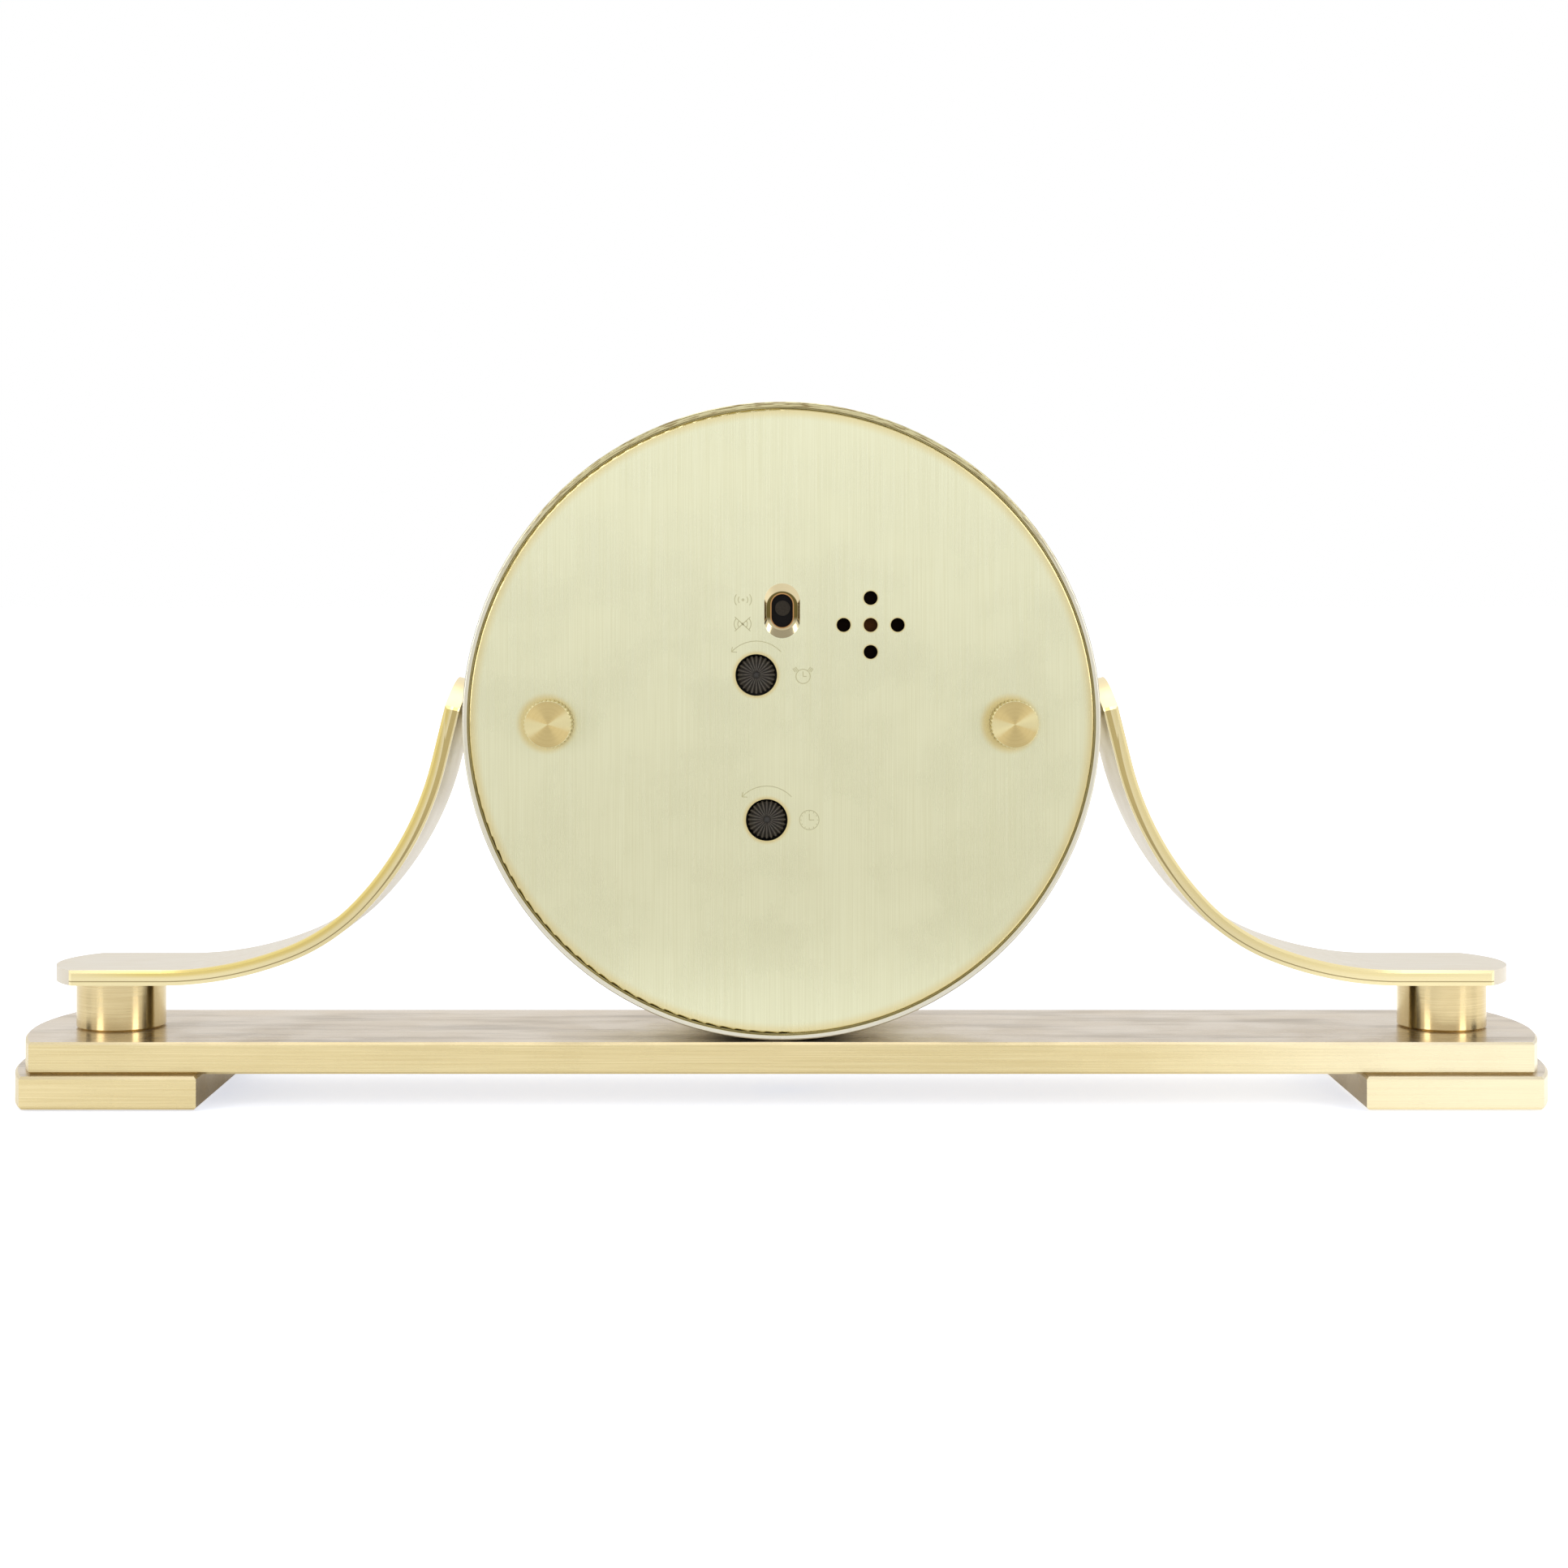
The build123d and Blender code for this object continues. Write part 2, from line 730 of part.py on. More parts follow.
def hour_markers():
    """Twelve applied batons, each a separate piece."""
    markers = []
    for hour in range(12):
        baton = Pos(0, marker_outer - marker_length / 2) * Rectangle(marker_width, marker_length)
        baton = clock_turn(30 * hour) * baton
        markers.append(on_drum(slab(baton, dial_front - marker_thickness, dial_front)))
    return markers


def hand_back(order):
    """The y of the back of a hand: 0 for the second hand, 3 for the alarm hand."""
    return glass_back + hand_glass_gap + hand_thickness + order * hand_pitch


def hand(order, reach_share, width, hub, bore, degrees, tail_share):
    """A tapered hand with a round hub, at its angle on the dial."""
    length = reach_share * marker_outer
    tail = length * tail_share
    shoulder = length * (1 - tail_share)
    blade = make_face(Polyline((-width / 2, -tail), (width / 2, -tail), (width / 2, shoulder),
                               (0, length), (-width / 2, shoulder), close=True))
    section = clock_turn(degrees) * (blade + Circle(hub)) - Circle(bore + thread_gap / 5)
    return on_drum(slab(section, hand_back(order) - hand_thickness, hand_back(order)))


def second_angle():
    """The second hand's angle at rest, clockwise from the top."""
    return 6 * shown_seconds


def minute_angle():
    """The minute hand's angle at rest."""
    return 6 * (shown_minutes + shown_seconds / 60)


def hour_angle():
    """The hour hand's angle at rest."""
    return 30 * (shown_hours + minute_angle() / 360)


def dial_carrier():
    """The plate behind the dial that carries the movement and the posts."""
    plate = disc(drum_inner - dial_gap, carrier_front, carrier_back)
    plate -= disc(carrier_window_radius, carrier_front - cut_overrun, carrier_back + cut_overrun)
    for x, z in carrier_screw_places():
        plate -= carrier_screw_solid(x, z, thread_gap)
    return on_drum(plate)


def boss_places():
    """The four bosses of the housing that take the screws of its back plate."""
    x = housing_half_width - boss_corner_x
    top = housing_top - boss_corner_z
    return [(-x, top), (x, top), (-x, -boss_low_z), (x, -boss_low_z)]


def carrier_screw_places():
    """Two screws into the upper bosses of the housing, and one into each post."""
    return boss_places()[:2] + [(-post_x, -post_drop), (post_x, -post_drop)]


def carrier_screw_solid(x, z, gap):
    """A countersunk screw whose head is level with the carrier's front, larger all round by a gap."""
    head_back = carrier_front + carrier_screw_head_height
    head = Pos(x, (carrier_front + head_back) / 2, z) * Rot(-90, 0, 0) * Cone(
        carrier_screw_head_radius + gap, carrier_screw_radius + gap, carrier_screw_head_height)
    return head + disc(carrier_screw_radius + gap, carrier_front, head_back + carrier_screw_grip + gap, x, z)


def carrier_screws():
    """The screws that hold the carrier to the housing and the posts."""
    return [on_drum(carrier_screw_solid(x, z, 0.0)) for x, z in carrier_screw_places()]


def cover_posts():
    """The two pillars inside the drum that the thumb screws go into."""
    posts = []
    for side in (-1, 1):
        x = side * post_x
        pillar_rod = disc(post_radius, carrier_back, post_back, x, -post_drop)
        pillar_rod -= disc(thumb_screw_radius + running_gap,
                           post_back - thumb_thread_length - thumb_hole_extra,
                           post_back + cut_overrun, x, -post_drop)
        pillar_rod -= carrier_screw_solid(x, -post_drop, thread_gap)
        posts.append(on_drum(pillar_rod))
    return posts


def housing_outline(inset, low):
    """The rounded outline of the movement, drawn in from its walls, down to some height."""
    half = housing_half_width - inset
    top = housing_top - inset
    middle = (top + low) / 2
    return Pos(0, middle) * RectangleRounded(2 * half, top - low, housing_corner - inset)


def arbor_places():
    """The middles of the arbors of the train, by name."""
    third = polar(train_distance, third_angle)
    intermediate = polar(train_distance, intermediate_angle)
    rise = intermediate[1] + polar(rotor_distance, rotor_angle)[1]
    return {"third": third, "intermediate": intermediate, "rotor": (rotor_x, rise), "minute": minute_place()}


def polar(distance, degrees):
    """X and Z of a point from its distance and direction."""
    return distance * math.cos(math.radians(degrees)), distance * math.sin(math.radians(degrees))


def minute_place():
    """Where the minute wheel lies, in mesh with both the cannon pinion and the setting pinion."""
    reach = math.hypot(time_knob_x, time_knob_z)
    heading = math.degrees(math.atan2(time_knob_z, time_knob_x))
    swing = math.acos((reach**2 + train_distance**2 - setting_distance**2) / (2 * reach * train_distance))
    return polar(train_distance, heading - math.degrees(swing))


def bush_front():
    """The y of the front end of the bush that the hands' pipes pass through."""
    return dial_front - bush_proud


def movement_front():
    """The front half of the movement: a tray with a bush, bosses and a bay for the battery."""
    tray = slab(housing_outline(0.0, housing_bottom), floor_front, plate_front)
    inner_low = battery_z - battery_radius - battery_gap
    inner_top = housing_top - housing_wall
    upper = Pos(0, (inner_top + bay_wall_top) / 2) * Rectangle(2 * bay_half_width, inner_top - bay_wall_top)
    lower = Pos(0, (bay_wall_bottom + inner_low) / 2) * Rectangle(
        2 * bay_half_width, bay_wall_bottom - inner_low)
    tray -= slab(upper + lower, floor_back, plate_front + cut_overrun)
    for x, z in boss_places():
        tray += disc(boss_radius, floor_back, plate_front, x, z)
        tray -= disc(housing_screw_radius + thread_gap, plate_front - housing_screw_grip,
                     plate_front + cut_overrun, x, z)
    for x, z in carrier_screw_places():
        tray -= disc(carrier_screw_radius + thread_gap, floor_front - cut_overrun,
                     carrier_front + carrier_screw_head_height + carrier_screw_grip + thread_gap, x, z)
    for x, z in board_boss_places():
        tray += disc(boss_radius, floor_back, board_front(), x, z)
        tray -= disc(housing_screw_radius + thread_gap, board_front() + board_thickness - housing_screw_grip,
                     board_front() + cut_overrun, x, z)
    for x, z in stator_boss_places():
        tray += disc(boss_radius, floor_back, stator_front(), x, z)
        tray -= disc(housing_screw_radius + thread_gap, core_y()[1] - housing_screw_grip,
                     stator_front() + cut_overrun, x, z)
    tray += disc(bush_radius, bush_front(), floor_front, 0.0, 0.0)
    tray -= disc(alarm_pipe_radius + running_gap, bush_front() - cut_overrun, floor_back + cut_overrun)
    for x, z in arbor_places().values():
        tray -= disc(arbor_radius + running_gap, floor_back - pivot_depth, floor_back + cut_overrun, x, z)
    for x, z in ((time_knob_x, time_knob_z), (alarm_knob_x, alarm_knob_z)):
        tray -= disc(stem_radius + running_gap, floor_back - pivot_depth, floor_back + cut_overrun, x, z)
    return on_drum(tray)


def movement_rear():
    """The back plate of the movement, with the rails of the alarm switch."""
    plate = slab(housing_outline(0.0, bay_wall_bottom), plate_front, plate_back)
    for x, z in boss_places():
        plate -= disc(housing_screw_radius + thread_gap, plate_front - cut_overrun,
                      plate_back + cut_overrun, x, z)
    pivots = list(arbor_places().values())
    for x, z in pivots:
        plate -= disc(arbor_radius + running_gap, plate_front - cut_overrun, plate_front + pivot_depth, x, z)
    plate -= disc(second_arbor_radius + running_gap, plate_front - cut_overrun, plate_front + pivot_depth)
    for x, z in ((time_knob_x, time_knob_z), (alarm_knob_x, alarm_knob_z)):
        plate -= disc(stem_radius + running_gap, plate_front - cut_overrun, plate_back + cut_overrun, x, z)
    rail_low = pin_z - switch_travel - slider_half_height
    rail_high = pin_z + slider_half_height
    for side in (-1, 1):
        edges = sorted((pin_x + side * (slider_half_width + slider_gap),
                        pin_x + side * (slider_half_width + slider_gap + slider_rail)))
        plate += block(*edges, plate_back - cut_overrun / 2, plate_back + slider_thickness,
                       rail_low, rail_high)
    return on_drum(plate)


def movement_nut():
    """The round notched nut that clamps the dial on the bush."""
    back = dial_front
    front = back - movement_nut_thickness
    nut = ring(movement_nut_radius, bush_radius + thread_gap, front, back)
    for degrees in (0, 90, 180, 270):
        x, z = polar(movement_nut_radius, degrees)
        nut -= disc(movement_nut_notch, front - cut_overrun, back + cut_overrun, x, z)
    return on_drum(nut)


def housing_screws():
    """Pan-headed screws: four through the back plate, two on the stator and two on the circuit board."""
    places = [(x, z, plate_back) for x, z in boss_places()]
    places += [(x, z, board_front() + board_thickness) for x, z in board_boss_places()]
    places += [(x, z, core_y()[1]) for x, z in stator_boss_places()]
    screws = []
    for x, z, seat in places:
        screw = disc(housing_screw_head_radius, seat, seat + housing_screw_head_height, x, z)
        screw += disc(housing_screw_radius, seat - housing_screw_grip + seat_gap, seat, x, z)
        screws.append(on_drum(screw))
    return screws


def layer_back(layer):
    """The y of the back face of a wheel in the given layer, 1 to 7."""
    return plate_front - layer_first - (layer - 1) * layer_pitch


def gear_section(teeth, module, phase):
    """A toothed outline, one tooth centred on the phase in degrees."""
    pitch = module * teeth / 2
    angle = math.radians(pressure_angle)
    base = pitch * math.cos(angle)
    half_space = math.pi / (2 * teeth) - backlash_share * module / (2 * pitch) + math.tan(angle) - angle
    flank = []
    root, knee, tip = (pitch - dedendum_share * module, pitch - knee_share * module,
                       pitch + addendum_share * module)
    for radius in (root, knee, tip):
        roll = math.acos(base / max(radius, base))
        flank.append((radius, half_space - math.tan(roll) + roll))
    points = []
    for tooth in range(teeth):
        middle = math.radians(phase) + 2 * math.pi * tooth / teeth
        points += [(radius * math.cos(middle - half), radius * math.sin(middle - half))
                   for radius, half in flank]
        points += [(radius * math.cos(middle + half), radius * math.sin(middle + half))
                   for radius, half in reversed(flank)]
    return make_face(Polyline(*points, close=True))


def meshed_phase(place, teeth, phase, other_place, other_teeth):
    """The phase at which another wheel's teeth stand in the gaps of the first, in degrees."""
    heading = math.degrees(math.atan2(other_place[1] - place[1], other_place[0] - place[0]))
    along = teeth * (heading - phase) / 360
    return heading + 180 - (0.5 - along) * 360 / other_teeth


def wheel(section, layer, x, z):
    """A flat wheel in its layer."""
    back = layer_back(layer)
    return slab(Pos(x, z) * section, back - wheel_thickness, back)


def pinion(section, layer, x, z, join_front, join_back):
    """A pinion that reaches past its mating wheel's layer as far as its own wheel."""
    back = max(layer_back(layer) + pinion_margin, join_back)
    front = min(layer_back(layer) - wheel_thickness - pinion_margin, join_front)
    return slab(Pos(x, z) * section, front, back)


def arbor(x, z):
    """A train arbor from the housing's floor to its back plate."""
    gap = running_gap
    return disc(arbor_radius, floor_back - pivot_depth + gap, plate_front + pivot_depth - gap, x, z)


def phases():
    """The phase of every toothed wheel, so that the whole train is in mesh at rest."""
    place = arbor_places()
    centre = (0.0, 0.0)
    time_knob_place, alarm_knob_place = (time_knob_x, time_knob_z), (alarm_knob_x, alarm_knob_z)
    found = {"second": 0.0, "second_pinion": 0.0, "centre": 0.0, "cannon": 0.0, "hour": 0.0, "alarm": 0.0}
    found["intermediate_pinion"] = meshed_phase(centre, second_teeth, 0.0, place["intermediate"],
                                                intermediate_pinion_teeth)
    found["intermediate"] = 0.0
    found["rotor"] = meshed_phase(place["intermediate"], intermediate_teeth, 0.0, place["rotor"], rotor_teeth)
    found["third"] = meshed_phase(centre, second_pinion_teeth, 0.0, place["third"], third_teeth)
    found["third_pinion"] = meshed_phase(centre, centre_teeth, 0.0, place["third"], third_pinion_teeth)
    found["minute"] = meshed_phase(centre, cannon_teeth, 0.0, place["minute"], minute_teeth)
    found["minute_pinion"] = meshed_phase(centre, hour_teeth, 0.0, place["minute"], minute_pinion_teeth)
    found["setting"] = meshed_phase(place["minute"], minute_teeth, found["minute"], time_knob_place,
                                    setting_teeth)
    found["alarm_pinion"] = meshed_phase(centre, alarm_teeth, 0.0, alarm_knob_place, alarm_pinion_teeth)
    return found


def intermediate_wheel():
    """The wheel that the rotor drives, with the pinion that drives the second wheel."""
    x, z = arbor_places()["intermediate"]
    body = wheel(gear_section(intermediate_teeth, rotor_module, phases()["intermediate"]),
                 intermediate_layer, x, z)
    section = gear_section(intermediate_pinion_teeth, second_module, phases()["intermediate_pinion"])
    body += pinion(section, second_layer, x, z, layer_back(second_layer),
                   layer_back(intermediate_layer) - wheel_thickness / 2)
    return on_drum(body + arbor(x, z))


def second_wheel():
    """The wheel that turns once a minute, with the long arbor that carries the second hand."""
    body = wheel(gear_section(second_teeth, second_module, phases()["second"]), second_layer, 0.0, 0.0)
    section = gear_section(second_pinion_teeth, third_module, phases()["second_pinion"])
    body += pinion(section, third_layer, 0.0, 0.0, layer_back(third_layer),
                   layer_back(second_layer) - wheel_thickness / 2)
    body += disc(second_arbor_radius, hand_back(0) - hand_thickness, plate_front + pivot_depth - running_gap)
    return on_drum(body)


def third_wheel():
    """The wheel between the second wheel and the centre wheel, with its pinion."""
    x, z = arbor_places()["third"]
    body = wheel(gear_section(third_teeth, third_module, phases()["third"]), third_layer, x, z)
    section = gear_section(third_pinion_teeth, centre_module, phases()["third_pinion"])
    body += pinion(section, centre_layer, x, z, layer_back(centre_layer),
                   layer_back(third_layer) - wheel_thickness / 2)
    return on_drum(body + arbor(x, z))


def centre_wheel():
    """The wheel that turns once an hour, a friction fit on the pipe of the cannon pinion."""
    body = wheel(gear_section(centre_teeth, centre_module, phases()["centre"]), centre_layer, 0.0, 0.0)
    back = layer_back(centre_layer)
    bore = minute_pipe_radius + pipe_gap
    return on_drum(body - disc(bore, back - wheel_thickness - cut_overrun, back + cut_overrun))


def cannon_pinion():
    """The pinion under the minute hand, with its pipe."""
    section = gear_section(cannon_teeth, minute_module, phases()["cannon"])
    body = pinion(section, minute_layer, 0.0, 0.0, layer_back(minute_layer), layer_back(minute_layer))
    front, back = hand_back(1) - hand_thickness, layer_back(centre_layer) + pinion_margin
    body += disc(minute_pipe_radius, front, back)
    return on_drum(body - disc(second_arbor_radius + pipe_gap, front - cut_overrun, back + cut_overrun))


def minute_wheel():
    """The wheel between the cannon pinion and the hour wheel, with its pinion."""
    x, z = arbor_places()["minute"]
    body = wheel(gear_section(minute_teeth, minute_module, phases()["minute"]), minute_layer, x, z)
    section = gear_section(minute_pinion_teeth, hour_module, phases()["minute_pinion"])
    body += pinion(section, hour_layer, x, z, layer_back(hour_layer),
                   layer_back(minute_layer) - wheel_thickness / 2)
    return on_drum(body + arbor(x, z))


def hour_wheel():
    """The wheel that turns once in twelve hours, with the hour hand's pipe."""
    body = wheel(gear_section(hour_teeth, hour_module, phases()["hour"]), hour_layer, 0.0, 0.0)
    front, back = hand_back(2) - hand_thickness, layer_back(hour_layer)
    body += disc(hour_pipe_radius, front, back)
    return on_drum(body - disc(minute_pipe_radius + pipe_gap, front - cut_overrun, back + cut_overrun))


def alarm_wheel():
    """The wheel that the alarm knob turns, with the alarm hand's pipe."""
    body = wheel(gear_section(alarm_teeth, alarm_module, phases()["alarm"]), alarm_layer, 0.0, 0.0)
    front, back = hand_back(3) - hand_thickness, layer_back(alarm_layer)
    body += disc(alarm_pipe_radius, front, back)
    return on_drum(body - disc(hour_pipe_radius + pipe_gap, front - cut_overrun, back + cut_overrun))


def rotor():
    """The magnet rotor of the stepping motor, with its pinion."""
    x, z = arbor_places()["rotor"]
    section = gear_section(rotor_teeth, rotor_module, phases()["rotor"])
    body = pinion(section, intermediate_layer, x, z, rotor_back(), rotor_back())
    body += disc(rotor_magnet_radius, rotor_back() - rotor_magnet_length, rotor_back(), x, z)
    return on_drum(body + arbor(x, z))


def rotor_back():
    """The y of the back of the rotor's magnet, clear of the intermediate wheel."""
    return layer_back(intermediate_layer) - wheel_thickness - rotor_magnet_gap


def stator_front():
    """The y of the front of the stator, half way along the rotor's magnet."""
    return rotor_back() - (rotor_magnet_length + stator_thickness) / 2


def stator_boss_places():
    """Two pillars of the housing under the ends of the coil's core."""
    rotor_z = arbor_places()["rotor"][1]
    reach = stator_half_height - stator_yoke / 2
    return [(rotor_x + coil_offset, rotor_z + side * reach) for side in (-1, 1)]


def stator():
    """The flat frame round the rotor; its open side is bridged by the coil's core."""
    x, z = arbor_places()["rotor"]
    leg = rotor_magnet_radius + stator_leg_margin
    right = coil_offset + core_width / 2
    frame = Pos((right - leg) / 2, 0) * Rectangle(right + leg, 2 * stator_half_height)
    window_left, window_right = leg, right + cut_overrun
    frame -= Pos((window_left + window_right) / 2, 0) * Rectangle(window_right - window_left,
                                                                2 * (stator_half_height - stator_yoke))
    frame -= Circle(rotor_magnet_radius + stator_leg_margin / 3)
    frame = Pos(x, z) * frame
    for hole_x, hole_z in stator_boss_places():
        frame -= Pos(hole_x, hole_z) * Circle(housing_screw_radius + thread_gap)
    return on_drum(slab(frame, stator_front(), stator_front() + stator_thickness))


def core_y():
    """The front and back faces of the coil's core."""
    front = stator_front() + stator_thickness
    return front, front + core_thickness


def coil_core():
    """The straight bar that carries the coil."""
    x, z = arbor_places()["rotor"]
    front, back = core_y()
    bar = block(x + coil_offset - core_width / 2, x + coil_offset + core_width / 2, front, back,
                z - stator_half_height, z + stator_half_height)
    for hole_x, hole_z in stator_boss_places():
        bar -= disc(housing_screw_radius + thread_gap, front - cut_overrun, back + cut_overrun,
                    hole_x, hole_z)
    return on_drum(bar)


def coil_turning(profile):
    """A solid of revolution about the coil's upright axis, from points given as (radius, height)."""
    x, z = arbor_places()["rotor"]
    front, back = core_y()
    section = Plane.XZ * make_face(Polyline(*profile, close=True))
    return on_drum(Pos(x + coil_offset, (front + back) / 2, z) * revolve(section, Axis.Z))


def coil_bobbin():
    """The spool on the core."""
    flange, half, thick = bobbin_flange_radius, bobbin_half_length, bobbin_flange_thickness
    tube = bobbin_tube_radius
    spool = coil_turning([(0, -half), (flange, -half), (flange, thick - half), (tube, thick - half),
                          (tube, half - thick), (flange, half - thick), (flange, half), (0, half)])
    x, z = arbor_places()["rotor"]
    front, back = core_y()
    wide = core_width / 2 + seat_gap
    return spool - on_drum(block(x + coil_offset - wide, x + coil_offset + wide, front - seat_gap,
                                 back + seat_gap, z - stator_half_height, z + stator_half_height))


def coil_winding():
    """The copper winding, as one sleeve."""
    half = bobbin_half_length - bobbin_flange_thickness - winding_gap
    inner = bobbin_tube_radius + winding_gap
    return coil_turning([(inner, -half), (winding_radius, -half), (winding_radius, half), (inner, half)])


def board_front():
    """The y of the front of the circuit board."""
    return floor_back + board_stand


def board_boss_places():
    """Two pillars of the housing under the circuit board."""
    x = (board_left + board_right) / 2
    return [(-x, board_top - 2 * boss_radius), (-x, 2 * boss_radius - board_bottom)]


def circuit_board():
    """The board with its potted chip."""
    front, back = board_front(), board_front() + board_thickness
    board = block(-board_left, -board_right, front, back, -board_bottom, board_top)
    for x, z in board_boss_places():
        board -= disc(housing_screw_radius + thread_gap, front - cut_overrun, back + cut_overrun, x, z)
    x = -(board_left + board_right) / 2
    board += disc(chip_size / 2, back, back + chip_thickness, x, (board_top - board_bottom) / 2)
    return on_drum(board)


def quartz_crystal():
    """The crystal in its can, lying on the board."""
    x = -(board_left + board_right) / 2
    low = (board_top - board_bottom) / 2 - chip_size / 2 - crystal_radius - crystal_length
    middle_y = board_front() + board_thickness + seat_gap + crystal_radius
    can = Pos(x, middle_y, low + crystal_length / 2) * Cylinder(crystal_radius, crystal_length)
    return on_drum(can)


def buzzer_case():
    """The cup of the sounder, its mouth towards the holes in the cover."""
    back = plate_back + buzzer_height
    cup = disc(buzzer_radius, plate_back, back, sound_x, sound_z)
    cup -= disc(buzzer_radius - buzzer_wall, plate_back + buzzer_wall, back + cut_overrun, sound_x, sound_z)
    step = buzzer_back() - buzzer_disc_thickness - seat_gap
    cup += ring(buzzer_radius - buzzer_wall / 2, buzzer_radius - 2 * buzzer_wall,
                plate_back + buzzer_wall / 2, step, sound_x, sound_z)
    return on_drum(cup)


def buzzer_back():
    """The y of the back of the sounder's disc."""
    return plate_back + buzzer_height - buzzer_disc_setback


def buzzer_disc():
    """The thin metal disc that makes the sound, seen through the holes."""
    radius = buzzer_radius - buzzer_wall - seat_gap
    return on_drum(disc(radius, buzzer_back() - buzzer_disc_thickness, buzzer_back(), sound_x, sound_z))


def battery():
    """A round cell along X, its raised end on the right."""
    start = -battery_length / 2 - battery_nub_length / 2
    can = Plane.YZ.offset(start) * Pos(battery_y, battery_z) * Circle(battery_radius)
    body = extrude(can, amount=battery_length)
    nub = Plane.YZ.offset(start + battery_length) * Pos(battery_y, battery_z) * Circle(battery_nub_radius)
    return on_drum(body + extrude(nub, amount=battery_nub_length))


def battery_contacts():
    """Two springy strips: a leaf at the flat end of the cell and one at its raised end."""
    contacts = []
    ends = ((-1, (battery_length + battery_nub_length) / 2), (1, (battery_length + battery_nub_length) / 2))
    for side, reach in ends:
        wall = bay_half_width - seat_gap
        touch = reach + seat_gap
        low, high = -contact_free_height / 2, contact_free_height / 2
        outline = Polyline((wall, low), (wall, high), (wall - contact_thickness, high), (touch, 0),
                           (touch + contact_thickness * 2, 0),
                           (wall - contact_thickness, high / 2), (wall - contact_thickness, low), close=True)
        section = Pos(0, battery_z) * make_face(outline)
        strip = slab(section, battery_y - contact_width / 2, battery_y + contact_width / 2)
        contacts.append(on_drum(strip if side > 0 else mirrored(strip)))
    return contacts


def knob(x, z, fluted_back):
    """A black fluted knob with a dimple in its face, on top of its stem."""
    points = []
    for flute in range(knob_flutes):
        for part, radius in ((0.0, knob_radius), (0.5, knob_radius - knob_flute_depth)):
            angle = 2 * math.pi * (flute + part) / knob_flutes
            points.append((radius * math.cos(angle), radius * math.sin(angle)))
    body = slab(Pos(x, z) * make_face(Polyline(*points, close=True)), fluted_back - knob_height, fluted_back)
    body -= disc(knob_dimple_radius, fluted_back - knob_dimple_radius / 2, fluted_back + cut_overrun, x, z)
    return on_drum(body - disc(stem_radius, fluted_back - knob_height - cut_overrun,
                               knob_seat(fluted_back), x, z))


def knob_seat(back):
    """How far the stem reaches into its knob."""
    return back - knob_height / 2


def stem(section, layer, x, z):
    """A setting stem: its pinion in one layer, its pivot in the housing's floor, its end in the knob."""
    body = pinion(section, layer, x, z, layer_back(layer), layer_back(layer))
    return on_drum(body + disc(stem_radius, floor_back - pivot_depth + running_gap,
                               knob_seat(cover_back - knob_setback), x, z))


def time_stem():
    """The stem that sets the hands."""
    section = gear_section(setting_teeth, minute_module, phases()["setting"])
    return stem(section, minute_layer, time_knob_x, time_knob_z)


def alarm_stem():
    """The stem that sets the alarm."""
    section = gear_section(alarm_pinion_teeth, alarm_module, phases()["alarm_pinion"])
    return stem(section, alarm_layer, alarm_knob_x, alarm_knob_z)


def switch_slider():
    """The alarm switch: a block between its rails, a flange behind the slot and a round pin through it."""
    low = plate_back + seat_gap
    body = block(pin_x - slider_half_width, pin_x + slider_half_width, low, low + slider_thickness,
                 pin_z - slider_half_height, pin_z + slider_half_height)
    top = cover_front - running_gap * 2
    body += block(pin_x - slider_flange_half_width, pin_x + slider_flange_half_width,
                  top - slider_flange_thickness, top, pin_z - slider_flange_half_height,
                  pin_z + slider_flange_half_height)
    pin = disc(pin_radius, low, cover_back - pin_setback, pin_x, pin_z)
    return on_drum(body + pin)


def rear_cover():
    """The flat back, with a dished slot, holes for the knobs, sound holes and screw holes."""
    plate = disc(cover_radius, cover_front, cover_back)
    plate = fillet(plate.faces().sort_by(Axis.Y)[-1].edges(), cover_edge_round)
    for x, z in ((time_knob_x, time_knob_z), (alarm_knob_x, alarm_knob_z)):
        plate -= disc(knob_hole_radius, cover_front - cut_overrun, cover_back + cut_overrun, x, z)
    for right, up in ((0, 0), (1, 0), (-1, 0), (0, 1), (0, -1)):
        plate -= disc(sound_hole_radius, cover_front - cut_overrun, cover_back + cut_overrun,
                      sound_x + right * sound_pitch, sound_z + up * sound_pitch)
    for side in (-1, 1):
        plate -= disc(thumb_screw_radius + cover_screw_gap, cover_front - cut_overrun,
                      cover_back + cut_overrun, side * post_x, -post_drop)
    upright = Pos(slot_x, slot_z) * Rot(0, 0, 90)
    opening = upright * SlotOverall(slot_height, slot_width)
    plate -= slab(opening, cover_front - cut_overrun, cover_back + cut_overrun)
    wide = Plane.XZ.offset(-cover_back) * upright * SlotOverall(dish_height, dish_width)
    deep = Plane.XZ.offset(dish_depth - cover_back)
    narrow = deep * upright * SlotOverall(dish_inner_height, dish_inner_width)
    return on_drum(plate - loft([wide, narrow]))


